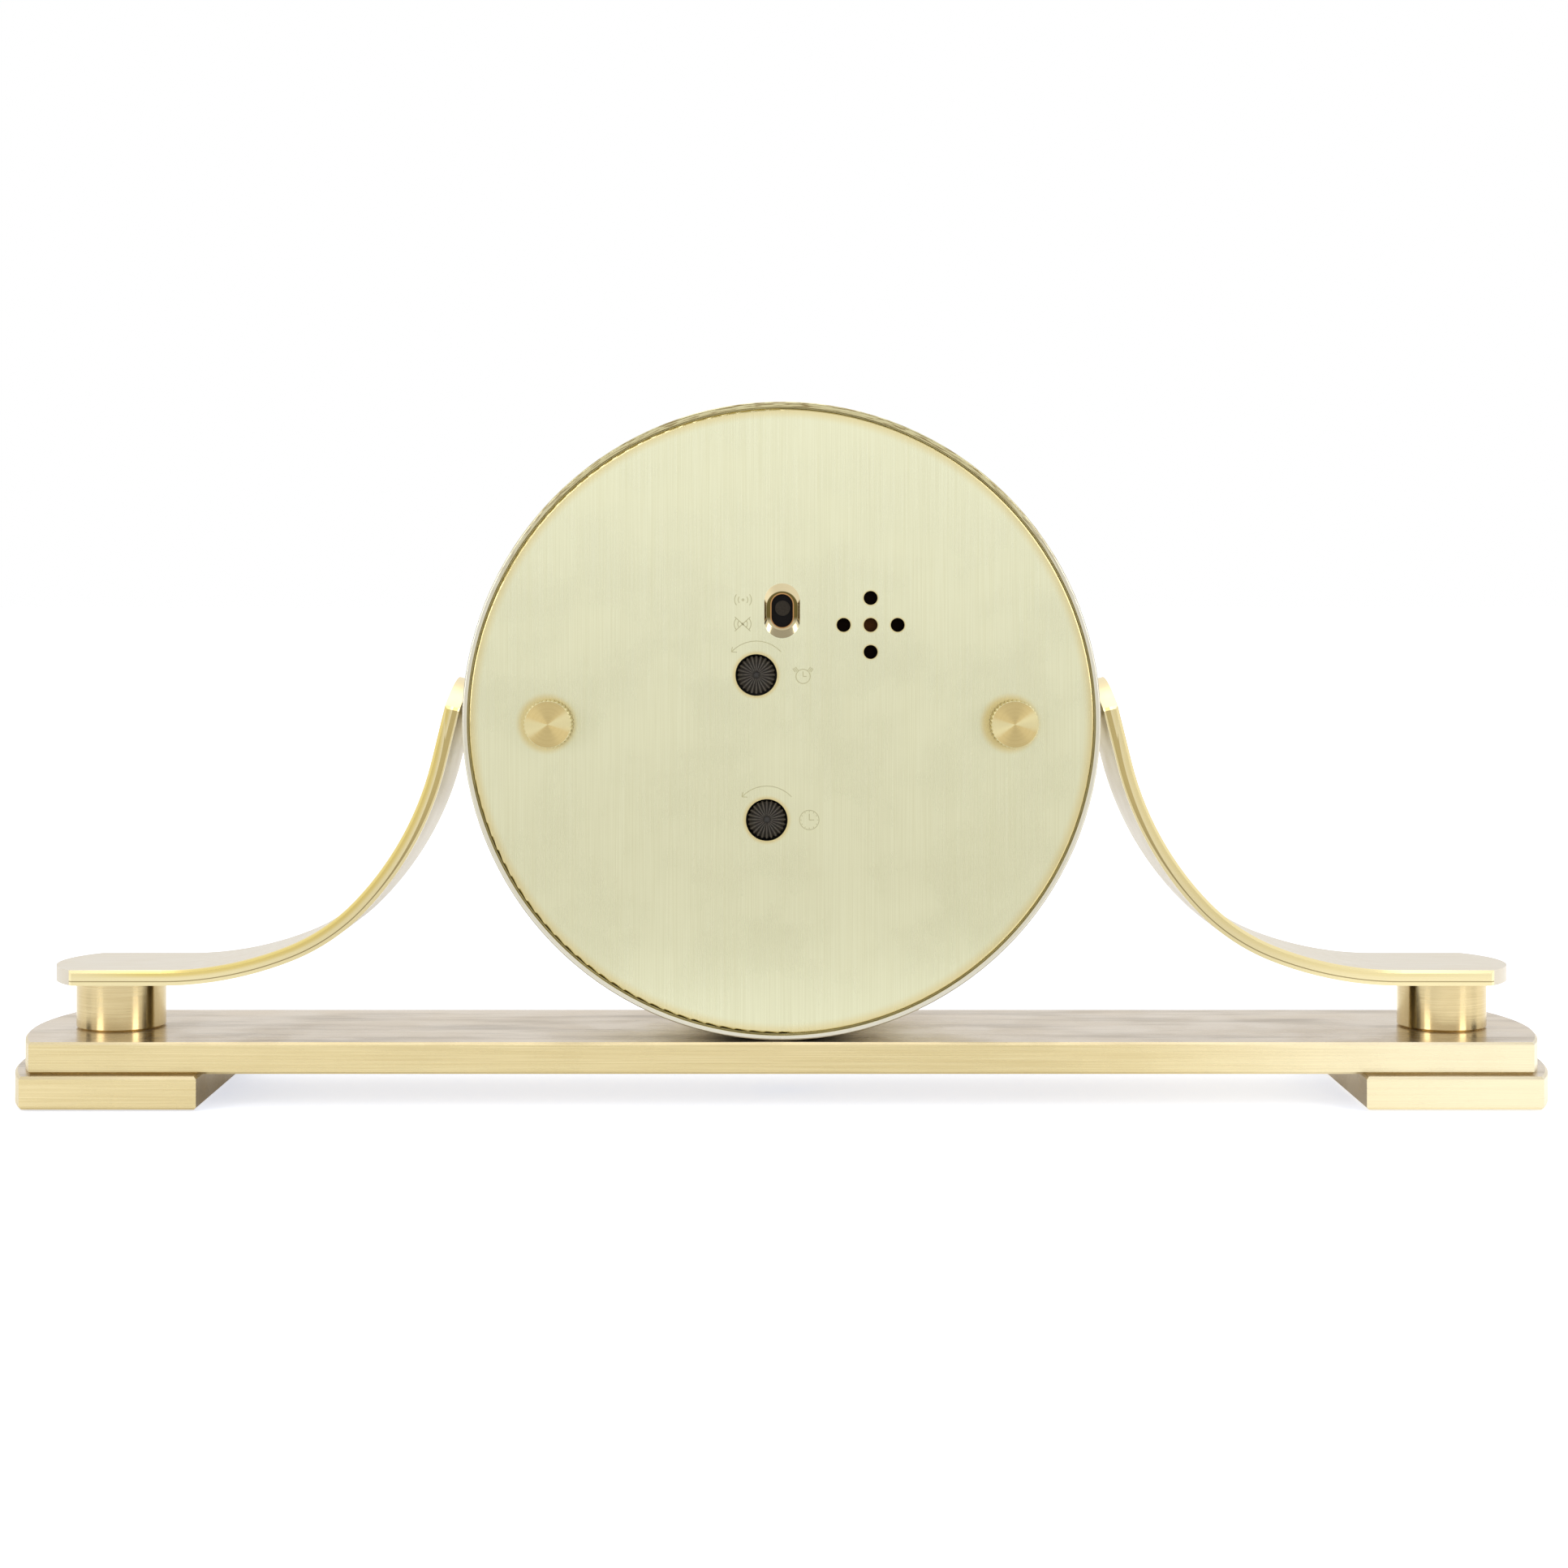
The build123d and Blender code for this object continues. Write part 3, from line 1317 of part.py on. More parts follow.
def thumb_screw(side):
    """A knurled thumb screw with a collar, a shank and a groove for its clip."""
    x, z = side * post_x, -post_drop
    collar_back = cover_back + seat_gap + thumb_collar_height
    points = []
    for knurl in range(thumb_knurls):
        for part, radius in ((0.0, thumb_radius), (0.5, thumb_radius - thumb_knurl_depth)):
            angle = 2 * math.pi * (knurl + part) / thumb_knurls
            points.append((radius * math.cos(angle), radius * math.sin(angle)))
    head = slab(Pos(x, z) * make_face(Polyline(*points, close=True)), collar_back, collar_back + thumb_height)
    top = collar_back + thumb_height
    trim = Pos(x, top - thumb_bevel / 2, z) * Rot(-90, 0, 0) * Cone(
        thumb_radius + thumb_bevel, thumb_radius - thumb_bevel, 2 * thumb_bevel)
    cap = disc(thumb_radius + thumb_bevel, collar_back - cut_overrun, top - thumb_bevel * 3 / 2, x, z) + trim
    head &= cap
    head += disc(thumb_collar_radius, cover_back + seat_gap, collar_back, x, z)
    shank = disc(thumb_screw_radius, post_back - thumb_thread_length, collar_back, x, z)
    groove_front = clip_front() - running_gap
    shank -= ring(thumb_screw_radius + cut_overrun, thumb_screw_radius - clip_groove_depth, groove_front,
                  clip_front() + clip_thickness + running_gap, x, z)
    return on_drum(head + shank)


def clip_front():
    """The y of the front of a thumb screw's clip, just clear of its post."""
    return post_back + 2 * running_gap


def screw_clip(side):
    """The washer in the thumb screw's groove that keeps it in the cover."""
    bore = thumb_screw_radius - clip_groove_depth + running_gap
    back = clip_front() + clip_thickness
    return on_drum(ring(clip_radius, bore, clip_front(), back, side * post_x, -post_drop))


def nodes():
    """Every sub-part by its name."""
    feet, pillars, arms, spacers, screws = foot(), pillar(), arm(), arm_spacer(), arm_screw()
    hand_sizes = {
        "second_hand": (0, second_hand_share, second_hand_width, second_hub_radius, second_arbor_radius,
                        second_angle(), hand_tail_share),
        "minute_hand": (1, minute_hand_share, minute_hand_width, minute_hub_radius, minute_pipe_radius,
                        minute_angle(), hand_tail_share / 2),
        "hour_hand": (2, hour_hand_share, hour_hand_width, hour_hub_radius, hour_pipe_radius,
                      hour_angle(), hand_tail_share / 2),
        "alarm_hand": (3, alarm_hand_share, alarm_hand_width, alarm_hub_radius, alarm_pipe_radius,
                       30 * alarm_hours, hand_tail_share / 2),
    }
    made = {
        "base_plate": base_plate(), "foot_right": feet, "foot_left": mirrored(feet), "foot_pads": foot_pads(),
        "foot_dowels": foot_dowels(), "base_screws": base_screws(), "pillar_right": pillars,
        "pillar_left": mirrored(pillars), "arm_right": arms, "arm_left": mirrored(arms),
        "arm_spacers": [spacers, mirrored(spacers)], "arm_screws": [screws, mirrored(screws)],
        "drum_case": drum_case(), "drum_nut": drum_nut(), "front_bezel": front_bezel(),
        "dial_glass": dial_glass(), "glass_gasket": glass_gasket(), "dial_ring": dial_ring(),
        "dial_plate": dial_plate(), "hour_markers": hour_markers(), "dial_carrier": dial_carrier(),
        "carrier_screws": carrier_screws(), "cover_posts": cover_posts(), "movement_front": movement_front(),
        "movement_rear": movement_rear(), "movement_nut": movement_nut(), "housing_screws": housing_screws(),
        "stator": stator(), "coil_core": coil_core(), "coil_bobbin": coil_bobbin(),
        "coil_winding": coil_winding(), "rotor": rotor(), "intermediate_wheel": intermediate_wheel(),
        "second_wheel": second_wheel(), "third_wheel": third_wheel(), "centre_wheel": centre_wheel(),
        "cannon_pinion": cannon_pinion(), "minute_wheel": minute_wheel(), "hour_wheel": hour_wheel(),
        "alarm_wheel": alarm_wheel(), "time_stem": time_stem(), "alarm_stem": alarm_stem(),
        "circuit_board": circuit_board(), "quartz_crystal": quartz_crystal(), "buzzer_case": buzzer_case(),
        "buzzer_disc": buzzer_disc(), "battery": battery(), "battery_contacts": battery_contacts(),
        "time_knob": knob(time_knob_x, time_knob_z, cover_back - knob_setback),
        "alarm_knob": knob(alarm_knob_x, alarm_knob_z, cover_back - knob_setback),
        "switch_slider": switch_slider(), "rear_cover": rear_cover(),
        "thumb_screw_right": thumb_screw(1), "thumb_screw_left": thumb_screw(-1),
        "screw_clip_right": screw_clip(1), "screw_clip_left": screw_clip(-1),
    }
    for name, sizes in hand_sizes.items():
        made[name] = hand(*sizes)
    return made


os.makedirs("parts", exist_ok=True)
for name, shape in nodes().items():
    group = Compound(children=shape) if isinstance(shape, list) else shape
    export_step(group, f"parts/{name}.step")
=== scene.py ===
"""Dresses the tambour mantel clock: finishes for its solids, and pieces with detail too fine for them.

Lengths are metres. The dial faces -Y, the back cover faces +Y, and the clock stands on z = 0.
"""
import logging
import math
from collections.abc import Callable, Iterable
from dataclasses import dataclass, field
from enum import Enum
from functools import reduce

import bmesh
import bpy
from mathutils import Matrix, Vector


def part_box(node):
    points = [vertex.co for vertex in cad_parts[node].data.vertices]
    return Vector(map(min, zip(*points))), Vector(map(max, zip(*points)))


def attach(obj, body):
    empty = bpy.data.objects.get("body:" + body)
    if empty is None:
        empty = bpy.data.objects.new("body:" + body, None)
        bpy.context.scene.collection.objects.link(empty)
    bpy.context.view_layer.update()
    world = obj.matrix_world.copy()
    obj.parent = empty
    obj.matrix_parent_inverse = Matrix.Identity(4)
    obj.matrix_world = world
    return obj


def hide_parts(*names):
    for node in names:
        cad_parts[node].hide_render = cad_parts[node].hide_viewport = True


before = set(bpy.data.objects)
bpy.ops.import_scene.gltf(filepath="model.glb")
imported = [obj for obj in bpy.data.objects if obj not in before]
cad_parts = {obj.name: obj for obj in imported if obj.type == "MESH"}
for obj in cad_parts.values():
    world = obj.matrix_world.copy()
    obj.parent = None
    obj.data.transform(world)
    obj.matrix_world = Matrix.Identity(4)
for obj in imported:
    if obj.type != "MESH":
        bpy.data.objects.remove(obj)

LOG = logging.getLogger("clock")
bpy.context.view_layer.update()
Colour = tuple[float, float, float]
Triple = tuple[float, float, float]
Span = tuple[float, float]
Socket = bpy.types.NodeSocket
Value = float | Colour | Socket

MM = 0.001
NEAR = 0.01 * MM  # closer than this counts as the same place
QUARTER = math.radians(90)
WHITE = (1.0, 1.0, 1.0)
MOST = (0.3, 0.7)  # between these lie most values of a noise
NUMBERS, COLOURS, COLOUR_OUT = (2, 3), (6, 7), 2  # a Mix node's inputs of each type, and its colour output

DRUM_Z = 59.75 * MM
DRUM_AXIS = (0.0, 0.0, DRUM_Z)
POST_X = 35.85 * MM
POST_Z = DRUM_Z - 0.4 * MM
COVER_BACK = 14.8 * MM
DIAL_FRONT = -9.5 * MM
# Places on the cover are X and Z from the drum's axis.
TIME_KNOB = (2.27 * MM, -15.3 * MM)
ALARM_KNOB = (3.89 * MM, 7.12 * MM)
SOUND = (-13.8 * MM, 14.86 * MM)
SOUND_PITCH = 4.18 * MM


class Grain(Enum):
    """The way that a metal's fine scratches run."""

    NONE = "none"
    ALONG_X = "along x"
    ALONG_Z = "along z"
    ROUND_Y = "round y"
    ROUND_Z = "round z"


class Graph:
    """A node tree and what is often added to it."""

    def __init__(self, tree: bpy.types.NodeTree) -> None:
        """Takes the tree of a material or of the world, and empties it."""
        self.tree = tree
        self.tree.nodes.clear()

    def add(self, kind: str, fed: dict[int | str, Value] | None = None, **settings: object) -> bpy.types.Node:
        """Adds a node.

        Args:
            kind: The node's type.
            fed: What its inputs get, by their number or name.
            settings: Attributes of the node.

        Returns:
            The new node.
        """
        node = self.tree.nodes.new(kind)
        for key, value in settings.items():
            setattr(node, key, value)
        for key, value in (fed or {}).items():
            self.feed(node.inputs[key], value)
        return node

    def feed(self, socket: Socket, value: Value) -> None:
        """Links a socket to another one, or sets its own value.

        Args:
            socket: The input.
            value: An output to link, a number, or a colour without its alpha.
        """
        if isinstance(value, bpy.types.NodeSocket):
            self.tree.links.new(value, socket)
        elif isinstance(value, tuple) and len(socket.default_value) == 4:
            socket.default_value = (*value, 1.0)
        else:
            socket.default_value = value

    def math(self, operation: str, *values: Value) -> Socket:
        """A Math node's result."""
        return self.add("ShaderNodeMath", dict(enumerate(values)), operation=operation).outputs[0]

    def times(self, *values: Value) -> Socket:
        """The product of numbers."""
        return reduce(lambda product, value: self.math("MULTIPLY", product, value), values)

    def minus(self, first: Value, second: Value) -> Socket:
        """The difference of two numbers."""
        return self.math("SUBTRACT", first, second)

    def size(self, value: Value) -> Socket:
        """A number without its sign."""
        return self.math("ABSOLUTE", value)

    def length(self, first: Socket, second: Socket) -> Socket:
        """The length of a flat vector."""
        return self.math("SQRT", self.math("MULTIPLY_ADD", second, second, self.times(first, first)))

    def blend(self, factor: Value, *colours: Value) -> Socket:
        """The first colour where the factor is 0, the second where it is 1."""
        fed = {0: factor, **dict(zip(COLOURS, colours))}
        return self.add("ShaderNodeMix", fed, data_type="RGBA").outputs[COLOUR_OUT]

    def choose(self, factor: Value, *numbers: Value) -> Socket:
        """The first number where the factor is 0, the second where it is 1."""
        fed = {0: factor, **dict(zip(NUMBERS, numbers))}
        return self.add("ShaderNodeMix", fed, data_type="FLOAT").outputs[0]

    def between(self, value: Value, *limits: float) -> Socket:
        """Maps one span smoothly onto another, 0 to 1 where none is given, and holds it there."""
        return self.add("ShaderNodeMapRange", dict(enumerate((value, *limits))),
                        interpolation_type="SMOOTHSTEP").outputs[0]

    def split(self, vector: Socket) -> tuple[Socket, ...]:
        """The three parts of a vector."""
        return tuple(self.add("ShaderNodeSeparateXYZ", {0: vector}).outputs)

    def join(self, *parts: Value) -> Socket:
        """A vector from its three parts."""
        return self.add("ShaderNodeCombineXYZ", dict(enumerate(parts))).outputs[0]

    def ray(self, kind: str) -> Socket:
        """1 for the rays of a kind, such as Camera."""
        return self.add("ShaderNodeLightPath").outputs[f"Is {kind} Ray"]

    def shown(self) -> Socket:
        """1 for the rays that show the surroundings: to the camera, in gloss and through glass."""
        return self.math("MAXIMUM", self.math("MAXIMUM", self.ray("Camera"), self.ray("Glossy")),
                         self.ray("Transmission"))


class Surface(Graph):
    """The node tree of one material, with a Principled shader to feed."""

    def __init__(self, name: str) -> None:
        """Starts a material.

        Args:
            name: The material's name.
        """
        self.material = bpy.data.materials.new(name)
        self.material.use_nodes = True
        super().__init__(self.material.node_tree)
        self.shader = self.add("ShaderNodeBsdfPrincipled")
        self.output = self.add("ShaderNodeOutputMaterial", {"Surface": self.shader.outputs["BSDF"]})
        where = self.add("ShaderNodeTexCoord").outputs
        self.place, self.normal = where["Object"], where["Normal"]
        self.colour: Value = WHITE
        self.rough: Value = 1.0

    def dress(self, **values: Value) -> None:
        """Sets the shader's inputs by their names, with _ for a space."""
        for key, value in values.items():
            self.feed(self.shader.inputs[key.replace("_", " ")], value)

    def lay(self, colour: Value, *shares: Value) -> None:
        """Lays a colour over the surface's own where the product of the shares is 1."""
        self.colour = self.blend(self.times(*shares), self.colour, colour)

    def around(self, centre: Triple) -> tuple[Socket, ...]:
        """The three parts of a point's place, measured from a centre."""
        moved = self.add("ShaderNodeVectorMath", {0: self.place, 1: centre}, operation="SUBTRACT")
        return self.split(moved.outputs[0])

    def noise(self, size: Triple, detail: float = 2.0, seed: float = 0.0,
              source: Socket | None = None) -> Socket:
        """A noise whose lumps have the given size along each axis.

        Args:
            size: The lumps' size in metres.
            detail: How many finer octaves there are.
            seed: Moves the pattern.
            source: Other coordinates than the object's own.

        Returns:
            The noise, about 0.5.
        """
        mapped = self.add("ShaderNodeMapping", {"Vector": source or self.place,
                                                "Location": (seed, seed * 0.7, seed * 1.3),
                                                "Scale": tuple(1.0 / part for part in size)})
        fed = {"Vector": mapped.outputs[0], "Scale": 1.0, "Detail": detail}
        return self.add("ShaderNodeTexNoise", fed).outputs[0]

    def bump(self, height: Socket, depth: float) -> None:
        """Bumps the shader's normal by a height from 0 to 1, where 1 is the depth in metres."""
        fed = {"Strength": 1.0, "Distance": depth, "Height": height}
        self.dress(Normal=self.add("ShaderNodeBump", fed).outputs[0])

    def tangent(self, *along: Value) -> None:
        """Stretches the shader's gloss along a direction of the object."""
        self.dress(Tangent=self.add("ShaderNodeVectorTransform", {0: self.join(*along)}, vector_type="VECTOR",
                                    convert_from="OBJECT", convert_to="WORLD").outputs[0])


@dataclass(frozen=True)
class Finish:
    """One surface finish."""

    name: str
    colour: Colour
    roughness: float = 0.4

    def paint(self, graph: Surface) -> None:
        """Builds the finish in a graph."""
        raise NotImplementedError

    def material(self) -> bpy.types.Material:
        """Makes the material, once.

        Returns:
            The material.
        """
        name = f"{self.name}_finish"
        if name not in bpy.data.materials:
            graph = Surface(name)
            self.paint(graph)
            graph.material.diffuse_color = (*self.colour, 1.0)
        return bpy.data.materials[name]

    def put_on(self, names: Iterable[str]) -> None:
        """Gives the finish to solids.

        Args:
            names: Their CAD nodes.
        """
        for name in names:
            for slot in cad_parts[name].material_slots:
                slot.material = self.material()
            LOG.info("finish %s on %s", self.name, name)


@dataclass(frozen=True)
class Metal(Finish):
    """Lacquered or bare metal with fine scratches along one way and faint clouds."""

    shade: Colour = (0.5, 0.4, 0.2)
    grain: Grain = Grain.NONE
    grain_width: float = 0.14 * MM
    grain_length: float = 14 * MM
    grain_tone: float = 0.5
    grain_depth: float = 1.2e-6
    anisotropy: float = 0.0
    cloud: float = 0.12
    cloud_size: float = 9 * MM
    cloud_edges: Span = (0.35, 0.75)
    cloud_roughness: Span = (-0.03, 0.04)
    grain_roughness: float = 0.03
    centre: Triple = (0.0, 0.0, 0.0)
    coat: float = 0.0
    coat_roughness: float = 0.08

    def scratches(self, graph: Surface) -> Socket:
        """Works out the scratches.

        Args:
            graph: The surface's graph.

        Returns:
            Their height, from 0 to 1.
        """
        wide, long = self.grain_width, self.grain_length
        if self.grain is Grain.ROUND_Y:
            x, y, z = graph.around(self.centre)
            return graph.noise((wide, wide, 1.0), 3.0, source=graph.join(graph.length(x, z), y, 0.0))
        size = {Grain.ALONG_X: (long, wide, wide), Grain.ALONG_Z: (wide, wide, long),
                Grain.ROUND_Z: (long, long, wide)}.get(self.grain, (wide,) * 3)
        return graph.noise(size, 3.0)

    def tint(self, graph: Surface) -> None:
        """Lays over the plain metal what one kind of metal adds, painted light and shade among it for some
        kinds.
        """

    def stretch(self, graph: Surface) -> None:
        """Stretches the gloss across the scratches.

        Args:
            graph: The surface's graph.
        """
        graph.dress(Anisotropic=self.anisotropy)
        if self.grain is Grain.ROUND_Y:
            x, _, z = graph.around(self.centre)
            graph.tangent(x, 0.0, z)
        else:
            across = {Grain.ALONG_Z: (1.0, 0.0, 0.0), Grain.ROUND_Z: (0.0, 0.0, 1.0)}
            graph.tangent(*across.get(self.grain, (0.0, 1.0, 1.0)))

    def paint(self, graph: Surface) -> None:
        """Builds the finish.

        Args:
            graph: The surface's graph.
        """
        fine = self.scratches(graph)
        clouds = graph.noise((self.cloud_size,) * 3, detail=3.0, seed=4.0)
        tone = graph.between(fine, 0.5 - 0.5 * self.grain_tone, 0.5 + 0.5 * self.grain_tone)
        graph.colour = graph.blend(tone, self.shade, self.colour)
        graph.lay(self.shade, graph.between(clouds, *self.cloud_edges, 0.0, self.cloud))
        rough = graph.between(fine, *MOST, self.roughness + self.grain_roughness,
                              self.roughness - self.grain_roughness)
        graph.rough = graph.math("ADD", graph.between(clouds, *MOST, *self.cloud_roughness), rough)
        graph.bump(fine, self.grain_depth)
        self.tint(graph)
        graph.dress(Base_Color=graph.colour, Roughness=graph.rough, Metallic=1.0)
        if self.coat:
            graph.dress(Coat_Weight=self.coat, Coat_Roughness=self.coat_roughness)
        if self.anisotropy:
            self.stretch(graph)


@dataclass(frozen=True)
class Arc:
    """One bend of an arm, seen along Y with the arm on the +X side."""

    x: float
    z: float
    radius: float
    start_x: float


@dataclass(frozen=True)
class ArmPath:
    """The line that an arm's inner face follows, from its flat end up to its tip on the drum."""

    radii: tuple[float, ...] = (55.75 * MM, 32.0 * MM, 50.3 * MM)
    angles: tuple[float, ...] = (21.5, 24.5, 30.0)
    bottom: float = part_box("arm_right")[0][2]
    thickness: float = 2.37 * MM
    tip_rise: float = 5.85 * MM
    drum_reach: float = 49.6 * MM

    @property
    def tip(self) -> Span:
        """Where the inner line ends, as X and Z."""
        return math.sqrt(self.drum_reach**2 - self.tip_rise**2), DRUM_Z + self.tip_rise

    @property
    def lean(self) -> float:
        """How much the last run leans from level, in radians."""
        return math.radians(sum(self.angles))

    def bends(self) -> list[Arc]:
        """Works out the bends from the flat end to the tip.

        Returns:
            The bends, and an arc that has only the place where the last straight run starts.
        """
        places, inward, rise, lean = [], 0.0, 0.0, 0.0
        for radius, angle in zip(self.radii, map(math.radians, self.angles)):
            places.append((inward, inward - radius * math.sin(lean), rise + radius * math.cos(lean), radius))
            inward += radius * (math.sin(lean + angle) - math.sin(lean))
            rise += radius * (math.cos(lean) - math.cos(lean + angle))
            lean += angle
        tip_x, tip_z = self.tip
        bend_x = tip_x + (tip_z - self.bottom - rise) / math.tan(lean) + inward
        return [Arc(bend_x - to_centre, self.bottom + up, radius, bend_x - begun)
                for begun, to_centre, up, radius in places] + [Arc(0.0, 0.0, 0.0, bend_x - inward)]

    def lift(self, graph: Surface) -> Socket:
        """Works out how far above the arm's inner line a point is.

        Args:
            graph: The surface's graph.

        Returns:
            The height, from 0 to the arm's thickness.
        """
        x, _, z = graph.split(graph.place)
        x = graph.size(x)
        *bends, last = self.bends()
        lift = graph.minus(z, self.bottom)
        for bend in bends:
            away = graph.length(graph.minus(x, bend.x), graph.minus(z, bend.z))
            begun = graph.math("LESS_THAN", x, bend.start_x)
            lift = graph.choose(begun, lift, graph.minus(bend.radius, away))
        tip_x, tip_z = self.tip
        out = graph.times(graph.minus(x, tip_x), math.sin(self.lean))
        run = graph.math("MULTIPLY_ADD", graph.minus(z, tip_z), math.cos(self.lean), out)
        return graph.choose(graph.math("LESS_THAN", x, last.start_x), lift, run)


@dataclass(frozen=True)
class StripMetal(Metal):
    """The arms' brass: satin faces, tips painted golden as a reflection, and polished edges with a painted
    highlight, yellow above a painted dark reflected line that widens.
    """

    edge_colour: Colour = (0.91, 0.80, 0.48)
    edge_roughness: float = 0.14
    half_width: float = 10.65 * MM
    bevel: float = 0.45 * MM
    arris_colour: Colour = (0.82, 0.66, 0.24)
    arris_lift: Span = (0.45, 0.72)
    worn_lift: Span = (1.0, 0.88)
    worn_share: float = 0.35
    dim_side: Span = (-20 * MM, 20 * MM)
    dim_share: float = 0.3
    flat_end: Span = (112 * MM, 98 * MM)
    flat_share: float = 0.15
    line_colour: Colour = (0.2, 0.14, 0.04)
    line_lift: float = 0.27
    line_widths: Span = (0.035, 0.16)
    line_share: float = 0.72
    band_colour: Colour = (0.50, 0.37, 0.11)
    band_rise: Span = (30 * MM, 52 * MM)
    tip_colour: Colour = (0.86, 0.73, 0.44)
    tip_rise: Span = (54 * MM, 62 * MM)
    path: ArmPath = ArmPath()

    def tint(self, graph: Surface) -> None:
        """Lays the painted reflection on the tip, and the painted highlight and dark reflected line on the
        polished edges, over the brass.

        Args:
            graph: The surface's graph.
        """
        x, y, z = graph.split(graph.place)
        # Painted reflection: the tip is laid golden.
        graph.lay(self.tip_colour, graph.between(z, *self.tip_rise))
        edge = graph.between(graph.size(y), self.half_width - 1.1 * self.bevel,
                             self.half_width - 0.95 * self.bevel)
        lift = graph.math("DIVIDE", self.path.lift(graph), self.path.thickness)
        # Painted highlight: the bevel is pale, and yellow across part of it, fading towards its outer face,
        # the -X side and the flat end.
        yellow = graph.times(graph.between(lift, *self.arris_lift),
                             graph.between(lift, *self.worn_lift, self.worn_share, 1.0),
                             graph.between(x, *self.dim_side, self.dim_share, 1.0),
                             graph.between(graph.size(x), *self.flat_end, self.flat_share, 1.0))
        polish = graph.blend(yellow, self.edge_colour, self.arris_colour)
        # Painted reflection: a dark line along the bevel that widens and turns brown higher up.
        line = graph.math("LESS_THAN", graph.size(graph.minus(lift, self.line_lift)),
                          graph.between(z, *self.band_rise, *self.line_widths))
        dark = graph.blend(graph.between(z, *self.band_rise), self.line_colour, self.band_colour)
        graph.lay(graph.blend(graph.times(line, self.line_share), polish, dark), edge)
        graph.rough = graph.choose(edge, graph.rough, self.edge_roughness)


@dataclass(frozen=True)
class PlateMetal(Metal):
    """The base's brass: golden sides, painted paler towards -X as a highlight, painted shade on the inward
    sides, and a smeared top painted duller as shade.
    """

    pale_colour: Colour = (0.87, 0.79, 0.57)
    pale_side: Span = (-45 * MM, -110 * MM)
    pale_share: float = 0.75
    inward_colour: Colour = (0.27, 0.19, 0.08)
    inward_from: float = 50 * MM
    top_colour: Colour = (0.65, 0.555, 0.43)
    top_slope: Span = (0.6, 0.9)
    smear_colour: Colour = (0.36, 0.29, 0.20)
    smear_size: Triple = (26 * MM, 5 * MM, 5 * MM)
    smear_share: Span = (0.45, 0.72)
    scratch_size: Triple = (20 * MM, 0.25 * MM, 0.25 * MM)
    scratch_share: Span = (0.35, 0.65)
    scratch_least: float = 0.35

    def tint(self, graph: Surface) -> None:
        """Lays the painted highlight at the -X end, the painted shade on the inward sides and the painted
        duller top with its smears over the brass.

        Args:
            graph: The surface's graph.
        """
        x, _, _ = graph.split(graph.place)
        side, _, up = graph.split(graph.normal)
        # Painted highlight: the brass is laid paler towards -X.
        graph.lay(self.pale_colour, graph.between(x, *self.pale_side, 0.0, self.pale_share))
        # Painted shade: the sides that face inward are laid dark.
        graph.lay(self.inward_colour, graph.math("LESS_THAN", graph.times(side, x), -self.inward_from))
        smears = graph.between(graph.noise(self.smear_size, detail=4.0, seed=9.0), *self.smear_share)
        fine = graph.between(graph.noise(self.scratch_size, seed=3.0), *self.scratch_share,
                             self.scratch_least, 1.0)
        # Painted shade: faces that look up are laid duller, with random smears on them.
        graph.lay(graph.blend(graph.times(smears, fine), self.top_colour, self.smear_colour),
                  graph.between(up, *self.top_slope))


@dataclass(frozen=True)
class ScrewMetal(Metal):
    """A knurled screw's turned brass with painted highlights: two pale wedges where the turning catches
    light, and a pale arris.
    """

    light_colour: Colour = (0.80, 0.73, 0.43)
    wedge_tilt: float = math.radians(10.0)
    wedge_edges: Span = (0.35, 0.95)
    wedge_share: float = 0.8
    face_radius: float = 3.45 * MM
    arris_width: float = 0.1 * MM
    arris_share: float = 0.9

    def tint(self, graph: Surface) -> None:
        """Lays the painted highlight wedges and arris over the brass.

        Args:
            graph: The surface's graph.
        """
        x, _, z = graph.around(self.centre)
        angle = graph.math("ADD", graph.math("ARCTAN2", z, x), self.wedge_tilt)
        wave = graph.math("COSINE", graph.times(angle, 2.0))
        wedge = graph.between(wave, *self.wedge_edges, 0.0, self.wedge_share)
        arris = graph.between(graph.length(x, z), self.face_radius, self.face_radius + self.arris_width,
                              0.0, self.arris_share)
        # Painted highlight: the wedges and the arris are laid pale.
        graph.lay(self.light_colour, graph.math("MAXIMUM", wedge, arris))


@dataclass(frozen=True)
class DrumMetal(Metal):
    """The drum's brass: its rear edge is paler low down, and darker in broken streaks along the top."""

    edge_radius: float = 48.6 * MM
    edge_blur: float = 0.1 * MM
    edge_slope: Span = (0.3, 0.6)
    worn_colour: Colour = (0.76, 0.73, 0.62)
    worn_fall: Span = (40 * MM, 15 * MM)
    stain_colour: Colour = (0.24, 0.16, 0.06)
    stain_rise: Span = (12 * MM, 38 * MM)
    stain_share: Span = (0.48, 0.60)
    stain_depth: float = 0.8
    streak_size: Triple = (2.4 * MM, 0.16 * MM, 1.0)

    def tint(self, graph: Surface) -> None:
        """Lays the paler lower part and the dark streaks over the brass of the rear edge.

        Args:
            graph: The surface's graph.
        """
        x, _, z = graph.around(self.centre)
        _, rearward, _ = graph.split(graph.normal)
        radius = graph.length(x, z)
        edge = graph.times(graph.between(rearward, *self.edge_slope),
                           graph.between(radius, self.edge_radius, self.edge_radius + self.edge_blur))
        graph.lay(self.worn_colour, edge, graph.between(z, *self.worn_fall))
        turned = graph.join(graph.times(graph.math("ARCTAN2", x, z), self.edge_radius), radius, 0.0)
        streaks = graph.noise(self.streak_size, detail=4.0, seed=6.0, source=turned)
        graph.lay(self.stain_colour, edge, graph.between(streaks, *self.stain_share, 0.0, self.stain_depth),
                  graph.between(z, *self.stain_rise))


